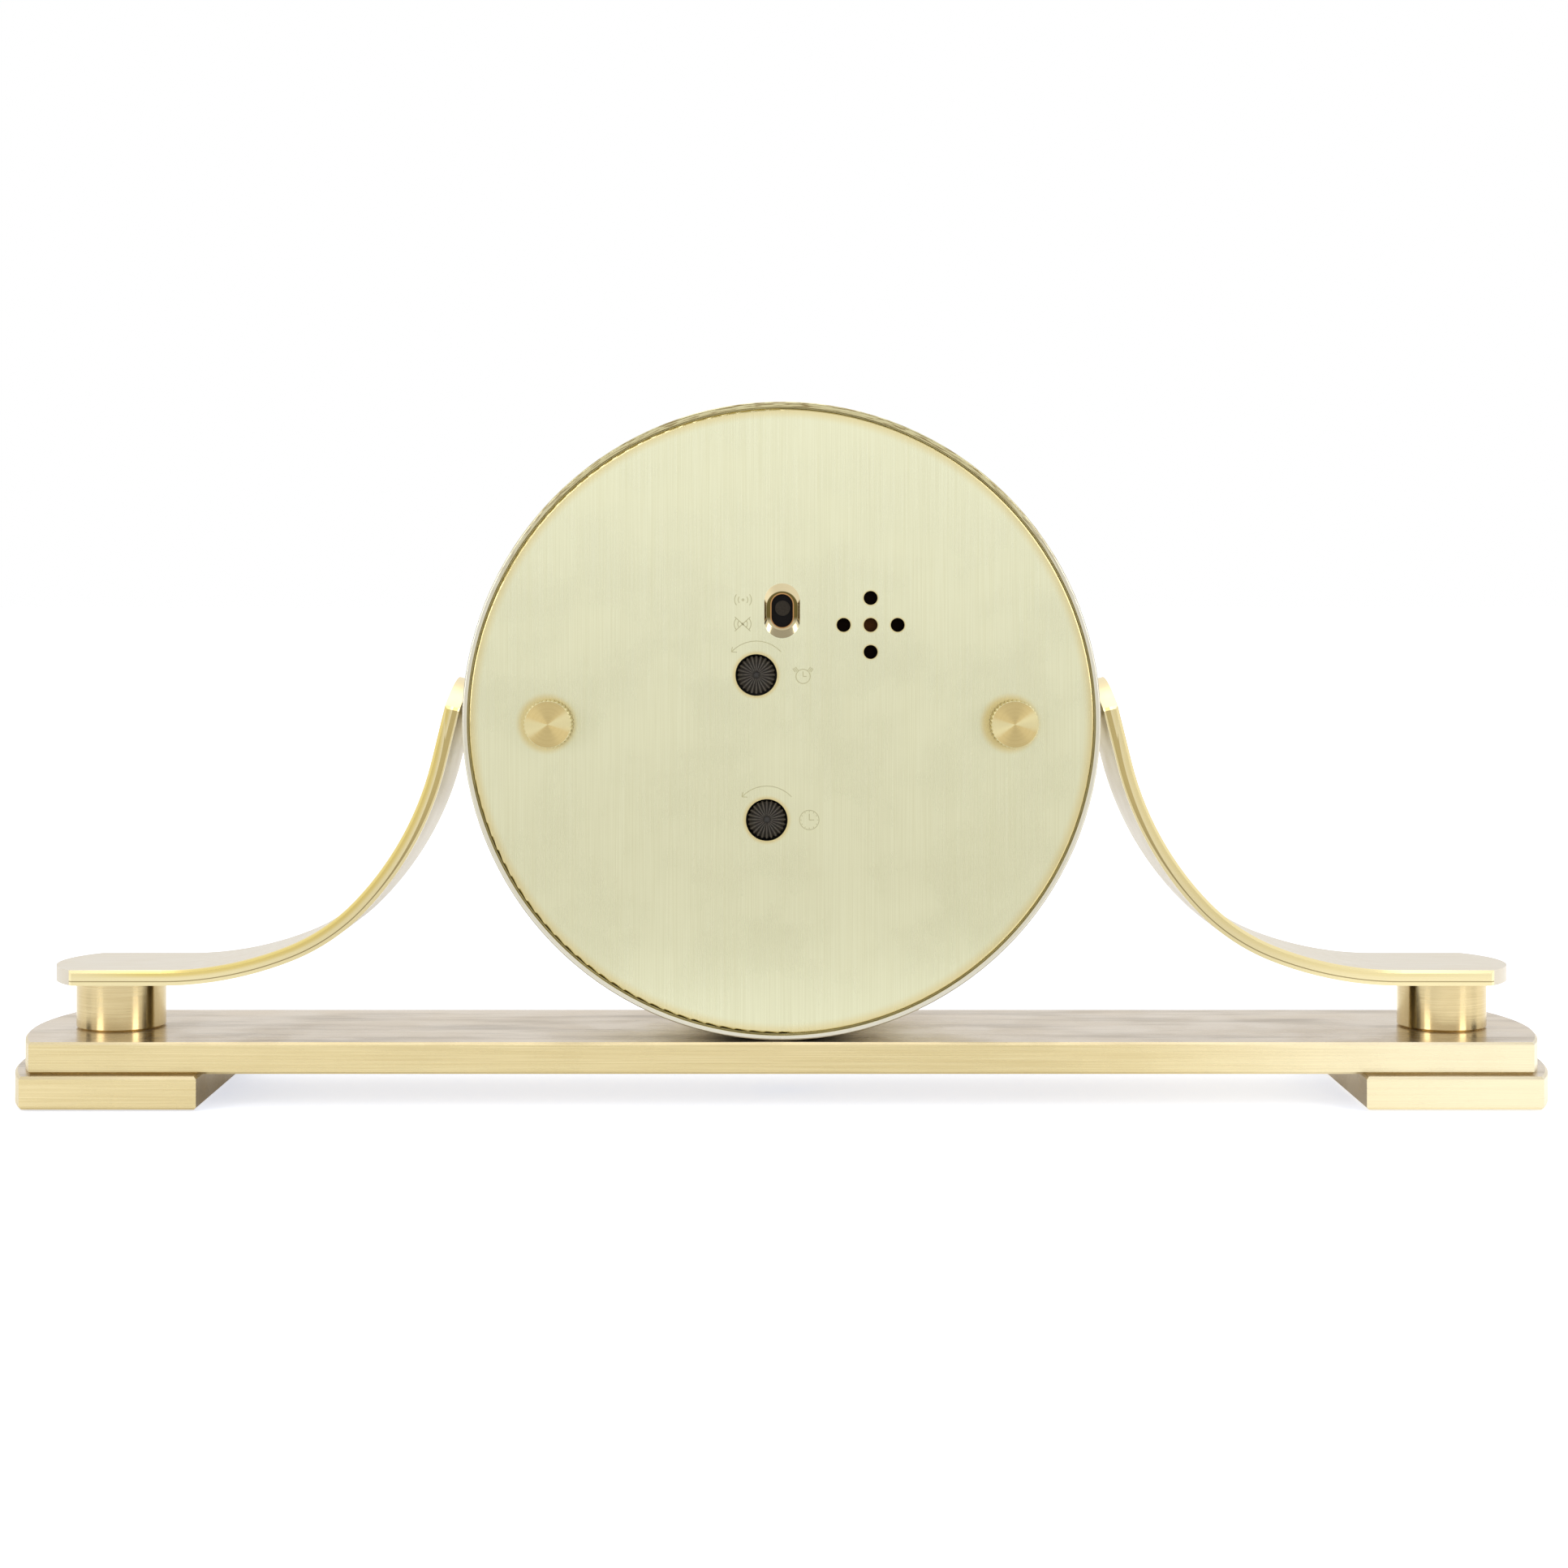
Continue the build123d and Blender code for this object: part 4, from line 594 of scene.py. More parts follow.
@dataclass(frozen=True)
class SounderMetal(Metal):
    """The sounder's bronze, dark brown under the middle sound hole and nearly black round that: painted shade
    inside the case.
    """

    dark_colour: Colour = (0.008, 0.005, 0.004)
    spot: Triple = (SOUND[0], 0.0, DRUM_Z + SOUND[1])
    spot_edges: Span = (1.6 * MM, 2.4 * MM)

    def tint(self, graph: Surface) -> None:
        """Lays the painted shade round the spot over the bronze."""
        x, _, z = graph.around(self.spot)
        graph.lay(self.dark_colour, graph.between(graph.length(x, z), *self.spot_edges))


@dataclass(frozen=True)
class CoverMetal(Metal):
    """The back cover's brass: brushed upright, golden at its rim and holes, polished in the slot's dish. The
    rim's gold is a painted sheen, the rings round the screw posts a painted shadow, and the upper floor of
    the dish painted shade.

    The dish, its floor and the slot's lip are each half the length of a middle line, the distance from it
    where they start and the one where they are full. A hole is X, Z, its radius and its golden ring.
    """

    rim_colour: Colour = (0.73, 0.58, 0.24)
    rim_radii: Span = (46.5 * MM, 48.3 * MM)
    rim_share: float = 0.65
    holes: tuple[tuple[float, float, float, float], ...] = ()
    hole_share: float = 0.7
    slot: Span = (-0.11 * MM, 17.06 * MM)
    dish: Triple = (1.51 * MM, 3.4 * MM, 3.1 * MM)
    dish_colour: Colour = (0.67, 0.57, 0.35)
    dish_depth: Span = (COVER_BACK - 0.005 * MM, COVER_BACK - 0.02 * MM)
    dish_roughness: float = 0.12
    floor: Triple = (0.58 * MM, 2.5 * MM, 2.35 * MM)
    floor_rise: Span = (-1.9 * MM, -0.9 * MM)
    tarnish: Colour = (0.16, 0.12, 0.035)
    lip: Triple = (0.92 * MM, 1.86 * MM, 1.78 * MM)
    lip_colour: Colour = (0.55, 0.30, 0.12)

    def tint(self, graph: Surface) -> None:
        """Lays the golden rings, with the painted sheen and painted shadows among them, the dish, the painted
        shade on its floor and the slot's lip over the brass.

        Args:
            graph: The surface's graph.
        """
        x, y, z = graph.around(DRUM_AXIS)
        # Painted sheen: the golden band inside the rim.
        glow = graph.between(graph.length(x, z), *self.rim_radii, 0.0, self.rim_share)
        # Round the screw posts the rings, set off towards +X, are a painted shadow of the heads.
        for hole_x, hole_z, radius, ring in self.holes:
            away = graph.length(graph.minus(x, hole_x), graph.minus(z, hole_z))
            golden = graph.between(away, radius + ring, radius, 0.0, self.hole_share)
            glow = graph.math("MAXIMUM", glow, golden)
        graph.lay(self.rim_colour, glow)
        aside, above = graph.minus(x, self.slot[0]), graph.minus(z, self.slot[1])

        def within(run: float, start: float, full: float) -> Socket:
            """1 inside a form round the slot."""
            past = graph.math("MAXIMUM", graph.minus(graph.size(above), run), 0.0)
            return graph.between(graph.length(past, aside), start, full)

        dish = graph.times(within(*self.dish), graph.between(y, *self.dish_depth))
        graph.lay(self.dish_colour, dish)
        # Painted shade: the upper part of the dish's floor is laid dark.
        graph.lay(self.tarnish, within(*self.floor), dish, graph.between(above, *self.floor_rise))
        graph.lay(self.lip_colour, within(*self.lip), dish)
        graph.rough = graph.minus(graph.rough, graph.times(dish, self.roughness - self.dish_roughness))


@dataclass(frozen=True)
class Coating(Finish):
    """A moulded, painted or printed surface: a fine mottled grain and patches dull with dust."""

    shade: Colour = (0.0, 0.0, 0.0)
    grain: float = 0.08 * MM
    grain_depth: float = 2e-6
    patch: float = 6 * MM
    specular: float = 0.5
    coat: float = 0.0
    sheen: float = 0.0

    def paint(self, graph: Surface) -> None:
        """Builds the finish.

        Args:
            graph: The surface's graph.
        """
        fine = graph.noise((self.grain,) * 3, 3.0)
        patches = graph.noise((self.patch,) * 3, seed=2.0)
        graph.dress(Base_Color=graph.blend(graph.between(fine, *MOST), self.shade, self.colour),
                    Roughness=graph.between(patches, *MOST, self.roughness - 0.05, self.roughness + 0.06),
                    Specular_IOR_Level=self.specular, Coat_Weight=self.coat, Sheen_Weight=self.sheen)
        graph.bump(fine, self.grain_depth)


@dataclass(frozen=True)
class KnobPlastic(Coating):
    """A setting knob's black plastic: its ribs' crests are painted greyer than the hollows and the hub's
    dimple, as a speckled painted highlight.
    """

    rubbed: Colour = (0.15, 0.135, 0.115)
    centre: Triple = (0.0, 0.0, 0.0)
    ribs: int = 24
    crest: Span = (-0.1, 0.95)
    hub: Span = (0.5 * MM, 0.8 * MM)
    speck: float = 0.25 * MM
    speck_share: Span = (0.35, 0.65)
    speck_least: float = 0.35

    def paint(self, graph: Surface) -> None:
        """Builds the finish.

        Args:
            graph: The surface's graph.
        """
        super().paint(graph)
        x, _, z = graph.around(self.centre)
        wave = graph.math("COSINE", graph.times(graph.math("ARCTAN2", z, x), self.ribs))
        specks = graph.between(graph.noise((self.speck,) * 3, 3.0), *self.speck_share, self.speck_least, 1.0)
        # Painted highlight: the crests of the ribs, speckled, are laid greyer.
        rubbed = graph.times(graph.between(wave, *self.crest), specks,
                             graph.between(graph.length(x, z), *self.hub))
        graph.dress(Base_Color=graph.blend(rubbed, self.colour, self.rubbed))


@dataclass(frozen=True)
class PinPlastic(Coating):
    """The alarm switch's black plastic, painted nearly black as shade in the slot, greyer on its pin, whose
    face is worn.
    """

    pin_colour: Colour = (0.036, 0.029, 0.021)
    pin_face: Span = (13.8 * MM, 13.88 * MM)
    speck: float = 0.2 * MM
    speck_least: float = 0.7

    def paint(self, graph: Surface) -> None:
        """Builds the finish.

        Args:
            graph: The surface's graph.
        """
        super().paint(graph)
        _, y, _ = graph.split(graph.place)
        specks = graph.between(graph.noise((self.speck,) * 3), *MOST, self.speck_least, 1.0)
        worn = graph.times(graph.between(y, *self.pin_face), specks)
        graph.dress(Base_Color=graph.blend(worn, self.colour, self.pin_colour))


@dataclass(frozen=True)
class Laminate(Coating):
    """A circuit board's green resin, paler over its copper tracks."""

    track: Colour = (0.12, 0.42, 0.18)
    track_scale: float = 180.0
    track_width: float = 0.06

    def paint(self, graph: Surface) -> None:
        """Builds the finish.

        Args:
            graph: The surface's graph.
        """
        super().paint(graph)
        turned = graph.add("ShaderNodeMapping", {"Vector": graph.place, "Rotation": (QUARTER, 0.0, 0.0)})
        brick = graph.add("ShaderNodeTexBrick", {"Vector": turned.outputs[0], "Scale": self.track_scale,
                                                 "Mortar Size": self.track_width})
        graph.dress(Base_Color=graph.blend(brick.outputs["Fac"], self.colour, self.track))


@dataclass(frozen=True)
class ClearGlass(Finish):
    """Flat clock glass, clear through, with a faint smear that only its gloss shows."""

    smear: Triple = (14 * MM, 14 * MM, 5 * MM)
    smear_edges: Span = (0.4, 0.8)
    smear_roughness: float = 0.03

    def paint(self, graph: Surface) -> None:
        """Builds the finish.

        Args:
            graph: The surface's graph.
        """
        rough = graph.between(graph.noise(self.smear, 3.0), *self.smear_edges, self.roughness,
                              self.roughness + self.smear_roughness)
        graph.dress(Roughness=rough, Base_Color=self.colour, IOR=1.5, Transmission_Weight=1.0,
                    Specular_IOR_Level=0.2)
        clear = graph.add("ShaderNodeBsdfTransparent")
        mixer = graph.add("ShaderNodeMixShader", {0: graph.ray("Shadow"), 1: graph.shader.outputs["BSDF"],
                                                  2: clear.outputs[0]})
        graph.feed(graph.output.inputs["Surface"], mixer.outputs[0])


POLISHED = Metal("polished_brass", (0.70, 0.57, 0.31), 0.10, shade=(0.54, 0.40, 0.18), grain=Grain.ROUND_Y,
                 grain_tone=1.2, grain_depth=3e-7, cloud=0.2, centre=DRUM_AXIS)
TURNED = Metal("pillar_brass", (0.80, 0.68, 0.41), 0.17, shade=(0.62, 0.48, 0.24), grain=Grain.ROUND_Z,
               grain_width=0.1 * MM, grain_tone=1.4, grain_depth=1.5e-7, anisotropy=0.93, cloud=0.35)
DRUM_BRASS = DrumMetal("satin_drum_brass", (0.72, 0.68, 0.42), 0.30, shade=(0.58, 0.50, 0.26),
                       grain=Grain.ROUND_Y, grain_depth=1e-6, centre=DRUM_AXIS)
STRIP = StripMetal("strip_brass", (0.79, 0.74, 0.64), 0.34, shade=(0.64, 0.57, 0.45), grain=Grain.ALONG_X,
                   grain_tone=0.8, anisotropy=0.3)
BRUSHED = PlateMetal("brushed_brass", (0.86, 0.74, 0.44), 0.26, shade=(0.68, 0.55, 0.28), grain=Grain.ALONG_X,
                     grain_length=24 * MM, grain_tone=0.9, grain_depth=1e-6, anisotropy=0.45)
COVER = CoverMetal("cover_brass", (0.84, 0.84, 0.61), 0.29, shade=(0.75, 0.74, 0.51), grain=Grain.ALONG_Z,
                   grain_length=18 * MM, grain_tone=0.65, grain_depth=2e-6, anisotropy=0.7, cloud=0.0,
                   holes=((*TIME_KNOB, 3.23 * MM, 0.7 * MM), (*ALARM_KNOB, 3.23 * MM, 0.7 * MM),
                          # Round the screw posts the ring is a painted shadow of the heads, set off towards
                          # +X.
                          *((side * POST_X + 0.5 * MM, POST_Z - DRUM_Z, 3.7 * MM, 1.3 * MM)
                            for side in (-1, 1)),
                          *((SOUND[0] + x * SOUND_PITCH, SOUND[1] + z * SOUND_PITCH, 1.08 * MM, 0.3 * MM)
                            for x, z in ((0, 0), (-1, 0), (1, 0), (0, -1), (0, 1)))))
INNER_TURNED = Metal("turned_brass", (0.78, 0.60, 0.30), 0.25, shade=(0.55, 0.38, 0.15))
WHEEL = Metal("wheel_brass", (0.78, 0.60, 0.30), 0.28, shade=(0.58, 0.42, 0.18))
SCREW = Metal("screw_steel", (0.60, 0.60, 0.60), 0.30, shade=(0.42, 0.42, 0.43))
SHEET = Metal("sheet_steel", (0.62, 0.63, 0.64), 0.34, shade=(0.46, 0.46, 0.48), grain=Grain.ALONG_X)
MAGNET = Coating("dark_magnet", (0.07, 0.07, 0.08), 0.5, shade=(0.03, 0.03, 0.035))
PLASTIC = Coating("black_plastic", (0.10, 0.088, 0.07), 0.34, shade=(0.07, 0.062, 0.05))
# Nearly black: painted shade on the slider deep in the slot round the pin.
SLIDER = PinPlastic("slider_plastic", (0.003, 0.002, 0.002), 0.5, shade=(0.002, 0.002, 0.002), specular=0.12)
# Dark brown as painted shade inside the case.
BRONZE = SounderMetal("sounder_bronze", (0.085, 0.032, 0.011), 0.42, shade=(0.06, 0.025, 0.01))
COPPER = Metal("copper_wire", (0.70, 0.30, 0.14), 0.3, shade=(0.45, 0.16, 0.07), coat=0.6)
BOARD = Laminate("green_laminate", (0.012, 0.09, 0.03), 0.35, shade=(0.01, 0.07, 0.025))
ENAMEL = Coating("dial_enamel", (0.84, 0.79, 0.67), 0.5, shade=(0.81, 0.75, 0.62), grain=0.15 * MM,
                 specular=0.3)
GILT = Metal("dial_gold", (0.72, 0.48, 0.18), 0.22, shade=(0.52, 0.33, 0.10))
HAND_BLACK = Coating("hand_black", (0.012, 0.012, 0.012), 0.4, shade=(0.02, 0.02, 0.02), specular=0.25)
HAND_GOLD = Metal("hand_gold", (0.70, 0.42, 0.12), 0.25, shade=(0.48, 0.27, 0.07))
GLASS = ClearGlass("clear_glass", (0.99, 0.995, 0.99), 0.0)
RUBBER = Coating("seal_rubber", (0.015, 0.015, 0.015), 0.6, shade=(0.01, 0.01, 0.01))
FELT = Coating("felt", (0.018, 0.045, 0.026), 0.95, shade=(0.008, 0.022, 0.012), grain=0.25 * MM,
               grain_depth=6e-5, specular=0.1, sheen=0.4)
PRINT = Coating("dial_print", (0.012, 0.012, 0.012), 0.6, shade=(0.02, 0.018, 0.016), specular=0.2)
JACKET = Coating("cell_jacket", (0.05, 0.05, 0.055), 0.3, shade=(0.04, 0.04, 0.045), coat=0.5)
STAMP = Metal("stamped_line", (0.60, 0.58, 0.36), 0.4, shade=(0.5, 0.47, 0.28), grain=Grain.ALONG_Z)

NODE_FINISHES: tuple[tuple[Finish, tuple[str, ...]], ...] = (
    (POLISHED, ("front_bezel",)),
    (TURNED, ("pillar_left", "pillar_right")),
    (DRUM_BRASS, ("drum_case", "arm_spacers")),
    (STRIP, ("arm_left", "arm_right")),
    (BRUSHED, ("base_plate", "foot_left", "foot_right")),
    (COVER, ("rear_cover",)),
    (INNER_TURNED, ("cover_posts", "movement_nut")),
    (WHEEL, ("second_wheel", "third_wheel", "centre_wheel", "minute_wheel", "hour_wheel", "alarm_wheel",
             "intermediate_wheel", "cannon_pinion")),
    (SCREW, ("base_screws", "arm_screws", "drum_nut", "carrier_screws", "housing_screws", "foot_dowels",
             "screw_clip_left", "screw_clip_right")),
    (SHEET, ("dial_carrier", "stator", "coil_core", "battery_contacts", "quartz_crystal")),
    (MAGNET, ("rotor",)),
    (PLASTIC, ("movement_front", "movement_rear", "time_stem", "alarm_stem", "buzzer_case", "coil_bobbin")),
    (SLIDER, ("switch_slider",)),
    (BRONZE, ("buzzer_disc",)),
    (BOARD, ("circuit_board",)),
    (ENAMEL, ("dial_plate",)),
    (GILT, ("dial_ring",)),
    (HAND_GOLD, ("second_hand", "alarm_hand")),
    (GLASS, ("dial_glass",)),
    (RUBBER, ("glass_gasket",)),
    (FELT, ("foot_pads",)),
)


def turn_about_y(degrees: float) -> Matrix:
    """A turn about the drum's axis, clockwise as seen from the dial side."""
    centre = Matrix.Translation(DRUM_AXIS)
    return centre @ Matrix.Rotation(math.radians(degrees), 4, "Y") @ centre.inverted()


class Bench:
    """What every modelled piece goes through: a primitive, edit mode, and a finished place in its mesh."""

    @staticmethod
    def clear() -> None:
        """Leaves edit mode and deselects everything."""
        if bpy.context.object and bpy.context.object.mode != "OBJECT":
            bpy.ops.object.mode_set(mode="OBJECT")
        bpy.ops.object.select_all(action="DESELECT")

    @staticmethod
    def take(piece: bpy.types.Object) -> None:
        """Makes a piece the only one selected.

        Args:
            piece: The piece.
        """
        Bench.clear()
        piece.select_set(True)
        bpy.context.view_layer.objects.active = piece

    @staticmethod
    def fix(piece: bpy.types.Object) -> None:
        """Moves a piece's place into its mesh."""
        Bench.take(piece)
        bpy.ops.object.transform_apply(location=True, rotation=True, scale=True)

    @staticmethod
    def start(kind: str, scale: Triple = (1.0, 1.0, 1.0), **settings: object) -> bpy.types.Object:
        """Adds a primitive, with its place in its mesh.

        Args:
            kind: The primitive, such as cube.
            scale: How much it is stretched along each of its axes.
            settings: What its operator takes.

        Returns:
            The primitive.
        """
        Bench.clear()
        getattr(bpy.ops.mesh, f"primitive_{kind}_add")(**settings)
        piece = bpy.context.object
        piece.scale = scale
        Bench.fix(piece)
        return piece

    @staticmethod
    def edit(piece: bpy.types.Object, action: str = "DESELECT") -> None:
        """Opens a piece in edit mode.

        Args:
            piece: The piece.
            action: SELECT or DESELECT, for all its faces.
        """
        Bench.take(piece)
        bpy.ops.object.mode_set(mode="EDIT")
        bpy.ops.mesh.select_mode(type="FACE")
        bpy.ops.mesh.select_all(action=action)

    @staticmethod
    def pick(piece: bpy.types.Object, kind: str, test: Callable[[object], bool]) -> None:
        """Selects only the parts of a mesh in edit mode that pass a test.

        Args:
            piece: The piece, in edit mode.
            kind: verts, edges or faces.
            test: What each must pass.
        """
        bpy.ops.mesh.select_mode(type=kind[:-1].upper())
        bpy.ops.mesh.select_all(action="DESELECT")
        mesh = bmesh.from_edit_mesh(piece.data)
        for part in filter(test, getattr(mesh, kind)):
            part.select_set(True)
        mesh.select_flush_mode()
        bmesh.update_edit_mesh(piece.data)

    @staticmethod
    def modify(piece: bpy.types.Object, kind: str, **settings: object) -> None:
        """Adds a modifier and applies it.

        Args:
            piece: The piece.
            kind: The modifier's type.
            settings: Its attributes.
        """
        Bench.take(piece)
        modifier = piece.modifiers.new(kind.title(), kind)
        for key, value in settings.items():
            setattr(modifier, key, value)
        bpy.ops.object.modifier_apply(modifier=modifier.name)

    @staticmethod
    def round_dial(piece: bpy.types.Object, name: str, count: int) -> list[bpy.types.Object]:
        """Copies a piece round the dial, each copy with its own mesh.

        Args:
            piece: The piece at twelve o'clock.
            name: What the copies' names start with.
            count: How many there are with the first.

        Returns:
            The piece and its copies.
        """
        pieces = [piece]
        for number in range(1, count):
            pieces.append(bpy.data.objects.new(f"{name}_{number}", piece.data.copy()))
            bpy.context.collection.objects.link(pieces[-1])
            pieces[-1].data.transform(turn_about_y(number * 360 / count))
        return pieces

    @staticmethod
    def unite(pieces: list[bpy.types.Object], name: str) -> bpy.types.Object:
        """Joins pieces into one.

        Args:
            pieces: The pieces.
            name: The name of what they make.

        Returns:
            The one piece.
        """
        Bench.take(pieces[0])
        for piece in pieces:
            piece.select_set(True)
        bpy.ops.object.join()
        pieces[0].name = name
        return pieces[0]

    @staticmethod
    def finish(piece: bpy.types.Object, finish: Finish, body: str, slot: str, angle: float = 35.0) -> None:
        """Smooths a piece, gives it its finish and its body, and reports it.

        Args:
            piece: The finished piece.
            finish: Its finish.
            body: The CAD body that it rides on.
            slot: The record's slot for its finish. It is not used.
            angle: Edges sharper than this many degrees stay sharp.
        """
        Bench.fix(piece)
        bpy.ops.object.shade_smooth_by_angle(angle=math.radians(angle))
        piece.data.materials.clear()
        piece.data.materials.append(finish.material())
        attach(piece, body)
        LOG.info("piece %s: %d faces on %s", piece.name, len(piece.data.polygons), body)


@dataclass
class SettingKnob:
    """A black knob: a fluted rim, ribs that run in to a hub, and a dimple in the hub."""

    node: str
    place: Span
    radius: float = 2.95 * MM
    flute_depth: float = 0.22 * MM
    rib_depth: float = 0.6 * MM
    flutes: int = 24
    back: float = 14.1 * MM
    length: float = 4.4 * MM
    hub: float = 0.75 * MM
    hub_rim: float = 0.25 * MM
    hub_rise: float = 0.04 * MM
    dimple_edge: float = 0.08 * MM
    dimple: float = 0.35 * MM
    bevel: float = 0.06 * MM

    def build(self) -> None:
        """Models the knob and lets it stand for its CAD node."""
        centre = Vector((self.place[0], self.back - self.length / 2, DRUM_Z + self.place[1]))
        piece = Bench.start("cylinder", vertices=2 * self.flutes, radius=self.radius, depth=self.length,
                            end_fill_type="TRIFAN", location=centre, rotation=(-QUARTER, 0.0, 0.0))
        piece.name = f"{self.node}_dressed"
        Bench.edit(piece)

        def away(vert: bmesh.types.BMVert) -> float:
            """How far a corner is from the knob's axis."""
            return math.hypot(vert.co.z - centre.z, vert.co.x - centre.x)

        def valley(vert: bmesh.types.BMVert) -> bool:
            """True for every second corner of the rim."""
            step = math.atan2(vert.co.z - centre.z, vert.co.x - centre.x) / math.radians(180 / self.flutes)
            return away(vert) > 0.9 * self.radius and round(step) % 2 == 1

        Bench.pick(piece, "verts", valley)
        shrink = 1 - self.flute_depth / self.radius
        bpy.ops.transform.resize(value=(shrink, 1.0, shrink), center_override=centre)
        Bench.pick(piece, "verts", lambda v: valley(v) and v.co.y > centre.y)
        bpy.ops.transform.translate(value=(0.0, -self.rib_depth, 0.0))
        Bench.pick(piece, "verts", lambda v: v.co.y > self.back - NEAR and away(v) < NEAR)
        bpy.ops.mesh.bevel(offset=self.hub, segments=1, affect="VERTICES")
        Bench.pick(piece, "faces", lambda f: f.normal.y > 0.9 and len(f.verts) > 10
                   and f.calc_center_median().y > centre.y)
        bpy.ops.mesh.inset(thickness=self.hub_rim, depth=-self.hub_rise)
        bpy.ops.mesh.inset(thickness=self.dimple_edge, depth=-self.dimple)
        Bench.modify(piece, "BEVEL", width=self.bevel, segments=2, limit_method="ANGLE",
                     angle_limit=math.radians(24))
        finish = KnobPlastic(f"{self.node}_plastic", (0.055, 0.048, 0.041), 0.36, shade=(0.04, 0.036, 0.03),
                             centre=(self.place[0], 0.0, DRUM_Z + self.place[1]), ribs=self.flutes)
        Bench.finish(piece, finish, self.node, "black_plastic", 50.0)
        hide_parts(self.node)


@dataclass
class ThumbScrewFace:
    """The turned finish of one knurled thumb screw, with its painted highlights, centred on its own axis."""

    side: str
    x: float

    def build(self) -> None:
        """Gives the screw's solid its finish."""
        finish = ScrewMetal(f"turned_brass_{self.side}", (0.74, 0.60, 0.29), 0.4, shade=(0.62, 0.48, 0.21),
                            grain=Grain.ROUND_Y, grain_width=0.09 * MM, grain_tone=1.1, grain_depth=6e-7,
                            anisotropy=0.9, centre=(self.x, 0.0, POST_Z))
        finish.put_on((f"thumb_screw_{self.side}",))


@dataclass
class Stroke:
    """A flat line stamped on the cover, straight or curved. Places are X and Z from the drum's axis."""

    width: float = 0.13 * MM
    height: float = 0.02 * MM
    step: float = 9.0

    def straight(self, start: Span, end: Span, lift: float = 0.0) -> bpy.types.Object:
        """Models a straight line between two points of the cover.

        Args:
            start: One end.
            end: The other end.
            lift: How much prouder it is, where it crosses another line.

        Returns:
            The line as a thin solid.
        """
        low, high = Vector((start[0], 0.0, start[1])), Vector((end[0], 0.0, end[1]))
        run = high - low
        return Bench.start("cube", (run.length, self.height + 2 * lift, self.width), size=1.0,
                           location=(low + high) / 2 + Vector((0, COVER_BACK, DRUM_Z)),
                           rotation=(0.0, -math.atan2(run.z, run.x), 0.0))

    def arc(self, centre: Span, radius: float, start: float = 0.0, sweep: float = 360.0) -> bpy.types.Object:
        """Models a curved line about a point of the cover.

        Args:
            centre: The point.
            radius: The radius of the line's middle.
            start: Where it starts, in degrees from +X towards +Z.
            sweep: How far it goes, in degrees.

        Returns:
            The line as a thin solid.
        """
        middle = Vector((centre[0], COVER_BACK, DRUM_Z + centre[1]))
        angle = math.radians(start)
        begin = middle + radius * Vector((math.cos(angle), 0.0, math.sin(angle)))
        piece = Bench.start("plane", (self.width, self.height, 1.0), size=1.0, location=begin,
                            rotation=(0.0, -angle, 0.0))
        Bench.edit(piece, "SELECT")
        bpy.ops.mesh.spin(steps=max(4, round(abs(sweep) / self.step)), angle=math.radians(sweep),
                          center=middle, axis=(0.0, 1.0, 0.0))
        bpy.ops.mesh.select_all(action="SELECT")
        bpy.ops.mesh.remove_doubles(threshold=1e-7)
        bpy.ops.mesh.normals_make_consistent(inside=False)
        Bench.clear()
        return piece


